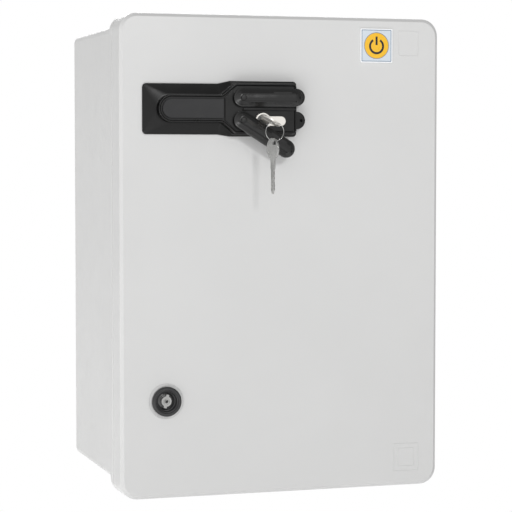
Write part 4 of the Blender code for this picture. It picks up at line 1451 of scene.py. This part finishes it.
    def contactor(self, shop: Workshop) -> None:
        """The contactor: base, cover and the carrier that shows in its window.

        Args:
            shop: the workshop.
        """
        x, z = self.contactor_x, self.upper_rail
        tools = self.entries(x, z + 40, True)
        tools.append(slab(rectangle(x - 17, x + 17, z - 24, z + 24, 1, 3), 40, 80, WALL, CUT_EDGE))
        tools += [drill(1.85, z - 44.0, z - 28.0, LEVEL, (x + p, self.pin_y), 24) for p in self.poles]
        base = carved(self.housing(x, self.half_width, self.rail_side(z, 40, [(-72, 40)])), tools)
        shop.piece("contactor_housing", base, Finish.DEVICE_DARK, "cabinet", ("contactor_base",))
        half = self.half_width
        lid = slab(rectangle(x - half, x + half, z - 36, z + 36, 1.2, 4), 72.4, 84, WALL, 0.8)
        tools = [slab(rectangle(x - 7, x + 7, z - 7, z + 7, 0.8, 3), 60, 90, WALL, CUT_EDGE)]
        tools += self.wells(x, -84, z + 28, 8.0) + self.wells(x, -84, z - 28, 8.0)
        for s in (-1, 1):
            line = rectangle(x - 23, x + 23, z + s * 20.5 - 0.5, z + s * 20.5 + 0.5, 0.1, 2)
            tools.append(slab(line, 83.2, 86, WALL, FINE_EDGE))
            vent = rectangle(x + s * 14.5 - 2.6, x + s * 14.5 + 2.6, z - 14, z + 14, 0.6, 3)
            tools.append(slab(vent, 83.0, 86, WALL, FINE_EDGE))
        shop.piece("contactor_lid", carved(lid, tools), Finish.DEVICE_LIGHT, "cabinet", ("contactor_cover",))
        spots = [(x + p, -78.0, z + s * 28) for p in self.poles for s in (-1, 1)]
        shop.piece("contactor_screws", self.screws(spots, 2.5), Finish.ZINC, "cabinet")
        bridge = slab(rectangle(x - 15, x + 15, z - 8, z + 8, 0.8, 3), 61.9, 68, WALL, 0.4)
        stem = slab(rectangle(x - 6, x + 6, z - 6, z + 6, 0.8, 3), 66.0, 88, WALL, 0.7)
        cross = slab(rectangle(x - 4, x + 4, z - 0.6, z + 0.6, 0.2, 2), 87.3, 90, WALL, FINE_EDGE)
        carrier = carved(carved(bridge, [stem], True), [cross])
        shop.piece("carrier", carrier, Finish.RED_PART, "contact_carrier", ("contact_carrier",))
        shop.dress(Finish.LAMINATION, "magnet_core")
        shop.dress(Finish.COPPER, "contactor_coil")

    def overload(self, shop: Workshop) -> None:
        """The overload relay with its dial and two buttons.

        Args:
            shop: the workshop.
        """
        x = self.contactor_x
        side = [(-26, 14), (-26, 59.6), (-85, 59.6), (-85, 27), (-85, 14)]
        middle = (x - 9, 38)
        tools = self.entries(x, 14, False)
        tools += [drill(4.0, 75.5, 90, WALL, (x + 9, v), 40) for v in (45, 28)]
        tools.append(drill(2.3, 79.0, 90, WALL, middle))
        tools.append(slab(rectangle(x - 23, x + 23, 20.9, 21.7, 0.1, 2), 84.2, 87, WALL, FINE_EDGE))
        mark = rectangle(x - 9 - 0.3, x - 9 + 0.3, 45.4, 47.2, 0.1, 2)
        marks = [turned_outline(mark, middle, math.radians(a)) for a in range(-120, 121, 30)]
        tools += [slab(outline, 84.7, 87, WALL, FINE_EDGE) for outline in marks]
        body = carved(self.housing(x, self.half_width, side), tools)
        shop.piece("relay_housing", body, Finish.DEVICE_LIGHT, "cabinet", ("overload_body",))
        pin = profile([(AXIS_GAP, 59.0), (1.5, 59.0), (1.5, 70.0), (AXIS_GAP, 70.0)], [0.05, 0.3], 3)
        pins = together(revolved(pin, LEVEL, (x + p, self.pin_y), 24) for p in self.poles)
        shop.piece("relay_pins", pins, Finish.CORE_WIRE, "cabinet")
        corners = [(AXIS_GAP, 80.0), (2.0, 80.0), (2.0, 85.35), (5.8, 85.35), (5.4, 88.0), (AXIS_GAP, 88.0)]
        dial = revolved(profile(corners, [0.2, 0.05, 0.3, 0.6], 3), WALL, middle, 56)
        slot = slab(rectangle(x - 9.6, x - 8.4, 34, 42, 0.3, 3), 87, 90, WALL, FINE_EDGE)
        shop.piece("relay_dial", carved(dial, [slot]), Finish.TERMINAL, "overload_dial", ("overload_dial",))
        button = profile([(AXIS_GAP, 79.0), (3.7, 79.0), (3.7, 88.4), (AXIS_GAP, 88.6)], [0.2, 0.7], 4)
        for name, finish, v in (("reset", Finish.BLUE_PART, 45), ("test", Finish.RED_PART, 28)):
            node = f"overload_{name}"
            shop.piece(f"relay_{name}", revolved(button, WALL, (x + 9, v), 48), finish, node, (node,))

    def terminals(self, shop: Workshop) -> None:
        """A row of terminals in slices, with screws.

        Args:
            shop: the workshop.
        """
        z = self.lower_rail
        side = self.rail_side(z, 24, [(-50, 24), (-56, 12), (-66, 9)])
        left, half, pitch = -41.8, 3.85, self.slice_pitch
        slices = together(self.housing(left + pitch * i + half, half, side, 0.35) for i in range(self.slices))
        spots = [(-37.9 + pitch * i, z + s * 18) for i in range(self.slices) for s in (-1, 1)]
        tools = [drill(1.6, -7.0, 6.0, Plane((0, -52.6, 0)), spot, 20) for spot in spots]
        tools += [drill(1.9, z + 17.0, z + 28.0, LEVEL, (p, -42), 24) for p in self.lead_x]
        shop.piece("terminal_row", carved(slices, tools), Finish.TERMINAL, "cabinet", ("terminal_block",))
        screws = self.screws([(u, -48.5, v) for u, v in spots], 1.5)
        shop.piece("terminal_screws", screws, Finish.ZINC, "cabinet")

    def wires(self, shop: Workshop) -> None:
        """Three jumpers and three motor leads, each a bent round wire.

        Args:
            shop: the workshop.
        """
        z, y = self.upper_rail, self.wire_y
        routes = ((36, -40, 148), (41, -49, 154), (46, -58, 160))
        for number, (pole, (low, riser, high)) in enumerate(zip(self.poles, routes), 1):
            a, b = self.breaker_x + pole, self.contactor_x + pole
            path = [(a, y, z - 40.5), (a, y, low), (riser, y, low), (riser, y, high), (b, y, high)]
            wire = swept(soft_route(path + [(b, y, z + 35.5)], 5.5, 12), self.wire_radius, 16)
            shop.piece(f"jumper_{number}", wire, Finish.INSULATION, "cabinet", (f"line_wire_{number}",))
        for number, (pole, x) in enumerate(zip(self.poles, self.lead_x), 1):
            a = self.contactor_x + pole
            path = [(a, y, 18.5), (a, y, -6), (x, -42, -26), (x, -42, self.lower_rail + 19.5)]
            wire = swept(soft_route(path, 6.0, 12), self.wire_radius, 16)
            shop.piece(f"lead_{number}", wire, Finish.INSULATION, "cabinet", (f"motor_wire_{number}",))

    def build(self, shop: Workshop) -> None:
        """Adds the pieces.

        Args:
            shop: the workshop.
        """
        shop.dress(Finish.SHEET, "mounting_plate")
        shop.dress(Finish.ZINC, "din_rail_upper", "din_rail_lower")
        heads = [(a * 126.0, -25.4, b * 190.0) for a, b in QUADRANTS]
        nodes = tuple(f"plate_screw_{b}_{a}" for b in ("top", "bottom") for a in ("left", "right"))
        shop.piece("plate_screws", self.screws(heads, 4.6), Finish.ZINC, "cabinet", nodes)
        self.breaker(shop)
        self.contactor(shop)
        self.overload(shop)
        self.terminals(shop)
        self.wires(shop)


@dataclass
class Fittings:
    """Cable glands, hinges and the angles that the latches grip."""

    gland_x: Pair = (-50.0, 50.0)
    gland_y: float = -120.0

    def gland(self, x: float) -> bpy.types.Mesh:
        """Hexagon collar, domed clamping nut and the neck.

        Args:
            x: its place along the cabinet.

        Returns:
            The mesh.
        """
        corners = [(6.5, -265.8), (10.8, -265.8), (13.0, -262.4), (13.4, -250.0), (13.4, -243.0), (12.3, -243.0)]
        corners += [(12.3, -230.6), (6.5, -230.6), (6.5, -265.8)]
        path = profile(corners, [1.2, 1.5, 1.0, 0.3, 0.2, 0.4, 0.6], 4)[:-1]
        body = revolved(path, LEVEL, (x, self.gland_y), 72, True)
        collar = slab(self.hexagon(x, 16.5), -249.0, -241.4, LEVEL, 0.8)
        return carved(carved(body, [collar], True), [drill(6.6, -270.0, -220.0, LEVEL, (x, self.gland_y), 64)])

    def hexagon(self, x: float, radius: float) -> Outline:
        """A hexagon round a gland's axis.

        Args:
            x: place of the axis.
            radius: distance to its corners.

        Returns:
            The outline.
        """
        angle = np.radians(np.arange(0, 360, 60))
        corners = tuple((x + radius * math.cos(a), self.gland_y + radius * math.sin(a)) for a in angle)
        return Outline(corners, (0.8,) * 6, 4)

    def nut(self, x: float) -> bpy.types.Mesh:
        """The hexagon nut inside.

        Args:
            x: its place along the cabinet.

        Returns:
            The mesh.
        """
        body = slab(self.hexagon(x, 17.0), -236.7, -231.7, LEVEL, 0.6)
        return carved(body, [drill(12.6, -240.0, -228.0, LEVEL, (x, self.gland_y), 64)])

    def build(self, shop: Workshop) -> None:
        """Adds the pieces.

        Args:
            shop: the workshop.
        """
        for name, x in zip(("left", "right"), self.gland_x):
            shop.piece(f"{name}_gland", self.gland(x), Finish.BLACK_PART, "cabinet", (f"gland_body_{name}",))
            shop.piece(f"{name}_gland_nut", self.nut(x), Finish.BLACK_PART, "cabinet", (f"gland_nut_{name}",))
        for kind in ("latch_keeper", "hinge_bracket", "hinge_pin"):
            shop.dress(Finish.ZINC, f"{kind}_upper", f"{kind}_lower")


# ---------------------------------------------------------------- studio


@dataclass
class Studio:
    """Pale floor, soft lights, a white surround and the camera."""

    floor_height: float = -0.62
    floor_half: float = 0.9
    camera_at: Triple = (-0.62278, -2.143, 0.1049)
    camera_turn: Triple = (90.0 - 3.05, 0.0, -17.533)
    lens: float = 132.95
    bright_side: Triple = (-0.549, -0.798, -0.249)
    side_glow: float = 0.64
    low_glow: float = 0.6
    base_glow: float = 0.15

    def floor(self) -> None:
        """A wide flat sheet under the object."""
        cells = 8
        grid = np.linspace(-self.floor_half, self.floor_half, cells + 1)
        x, y = np.meshgrid(grid, grid, indexing="ij")
        points = np.stack([x, y, np.full_like(x, self.floor_height)], axis=-1).reshape(-1, 3)
        i, j = np.meshgrid(np.arange(cells), np.arange(cells), indexing="ij")
        corner = (i * (cells + 1) + j).reshape(-1)
        faces = np.stack([corner, corner + cells + 1, corner + cells + 2, corner + 1], axis=1)
        mesh = bpy.data.meshes.new("studio_floor")
        mesh.from_pydata(points.tolist(), [], faces.tolist())
        mesh.materials.append(Moulding((0.86, 0.86, 0.86), 0.6, 0.005, 40.0, 0.05).build("studio_floor"))
        floor = bpy.data.objects.new("studio_floor", mesh)
        bpy.context.scene.collection.objects.link(floor)

    def light(self, name: str, at: Triple, size: Pair, watts: float) -> None:
        """A soft rectangular light aimed at the middle of the object.

        Args:
            name: its name.
            at: where it is, in metres.
            size: its width and height in metres.
            watts: its power.
        """
        data = bpy.data.lights.new(name, "AREA")
        data.shape, data.size, data.size_y, data.energy = "RECTANGLE", *size, watts
        lamp = bpy.data.objects.new(name, data)
        lamp.location = at
        back = np.array(at) - np.array([0.0, -0.25, 0.0])
        flat = math.hypot(back[0], back[1])
        lamp.rotation_euler = (math.atan2(flat, back[2]), 0.0, math.atan2(back[0], -back[1]))
        bpy.context.scene.collection.objects.link(lamp)

    def surround(self) -> None:
        """White where the camera looks straight at it, and a soft light that is strongest from the left and front.

        The light from a direction is twice base_glow, plus side_glow times the part of that direction along the
        bright side, plus low_glow times the part that points down. Negative parts count as zero.
        """
        world = bpy.data.worlds.new("studio_surround")
        world.use_nodes = True
        tree = world.node_tree
        glow = tree.nodes["Background"]
        glow.inputs["Color"].default_value = (1.0, 1.0, 1.0, 1.0)
        direction = tree.nodes.new("ShaderNodeTexCoord").outputs["Generated"]
        parts = []
        for axis, strength in ((self.bright_side, self.side_glow), ((0.0, 0.0, -1.0), self.low_glow)):
            along = tree.nodes.new("ShaderNodeVectorMath")
            along.operation = "DOT_PRODUCT"
            along.inputs[1].default_value = axis
            tree.links.new(direction, along.inputs[0])
            part, scaled = tree.nodes.new("ShaderNodeMath"), tree.nodes.new("ShaderNodeMath")
            part.operation, scaled.operation = "MAXIMUM", "MULTIPLY_ADD"
            part.inputs[1].default_value, scaled.inputs[1].default_value = 0.0, strength
            scaled.inputs[2].default_value = self.base_glow
            tree.links.new(along.outputs["Value"], part.inputs[0])
            tree.links.new(part.outputs[0], scaled.inputs[0])
            parts.append(scaled.outputs[0])
        total = tree.nodes.new("ShaderNodeMath")
        tree.links.new(parts[0], total.inputs[0])
        tree.links.new(parts[1], total.inputs[1])
        tree.links.new(total.outputs[0], glow.inputs["Strength"])
        white = tree.nodes.new("ShaderNodeBackground")
        white.inputs["Color"].default_value = (1.0, 1.0, 1.0, 1.0)
        white.inputs["Strength"].default_value = 1.0
        path, mix = tree.nodes.new("ShaderNodeLightPath"), tree.nodes.new("ShaderNodeMixShader")
        tree.links.new(path.outputs["Is Camera Ray"], mix.inputs[0])
        tree.links.new(glow.outputs[0], mix.inputs[1])
        tree.links.new(white.outputs[0], mix.inputs[2])
        tree.links.new(mix.outputs[0], tree.nodes["World Output"].inputs["Surface"])
        bpy.context.scene.world = world

    def camera(self) -> None:
        """The camera, a little left of the door's middle and above it."""
        data = bpy.data.cameras.new("camera")
        data.lens, data.clip_end = self.lens, 100.0
        camera = bpy.data.objects.new("camera", data)
        camera.location = self.camera_at
        camera.rotation_euler = tuple(math.radians(a) for a in self.camera_turn)
        bpy.context.scene.collection.objects.link(camera)
        bpy.context.scene.camera = camera

    def build(self) -> None:
        """Sets up the studio."""
        bpy.context.scene.view_settings.view_transform = "Standard"
        self.floor()
        self.surround()
        self.light("front_light", (0.2, -2.4, 0.85), (0.32, 0.32), 12.5)
        self.light("side_light", (-1.8, 0.5, -0.65), (0.9, 1.0), 16.5)
        self.light("low_light", (-0.7, -1.3, -0.55), (1.2, 0.4), 3.0)
        self.light("back_light", (0.3, 2.4, 2.0), (1.6, 1.0), 110.0)
        self.camera()


def main() -> None:
    """Builds every assembly and the studio."""
    logging.basicConfig(level=logging.INFO, format="%(name)s: %(message)s")
    shop = Workshop()
    assemblies = (Cabinet(), Door(), Label(), SwingHandle(), LockSet(), QuarterTurnLock(), StarterGear(), Fittings())
    for assembly in assemblies:
        assembly.build(shop)
    Studio().build()
    LOG.info("%d pieces", len(shop.made))


if __name__ == "__main__":
    main()
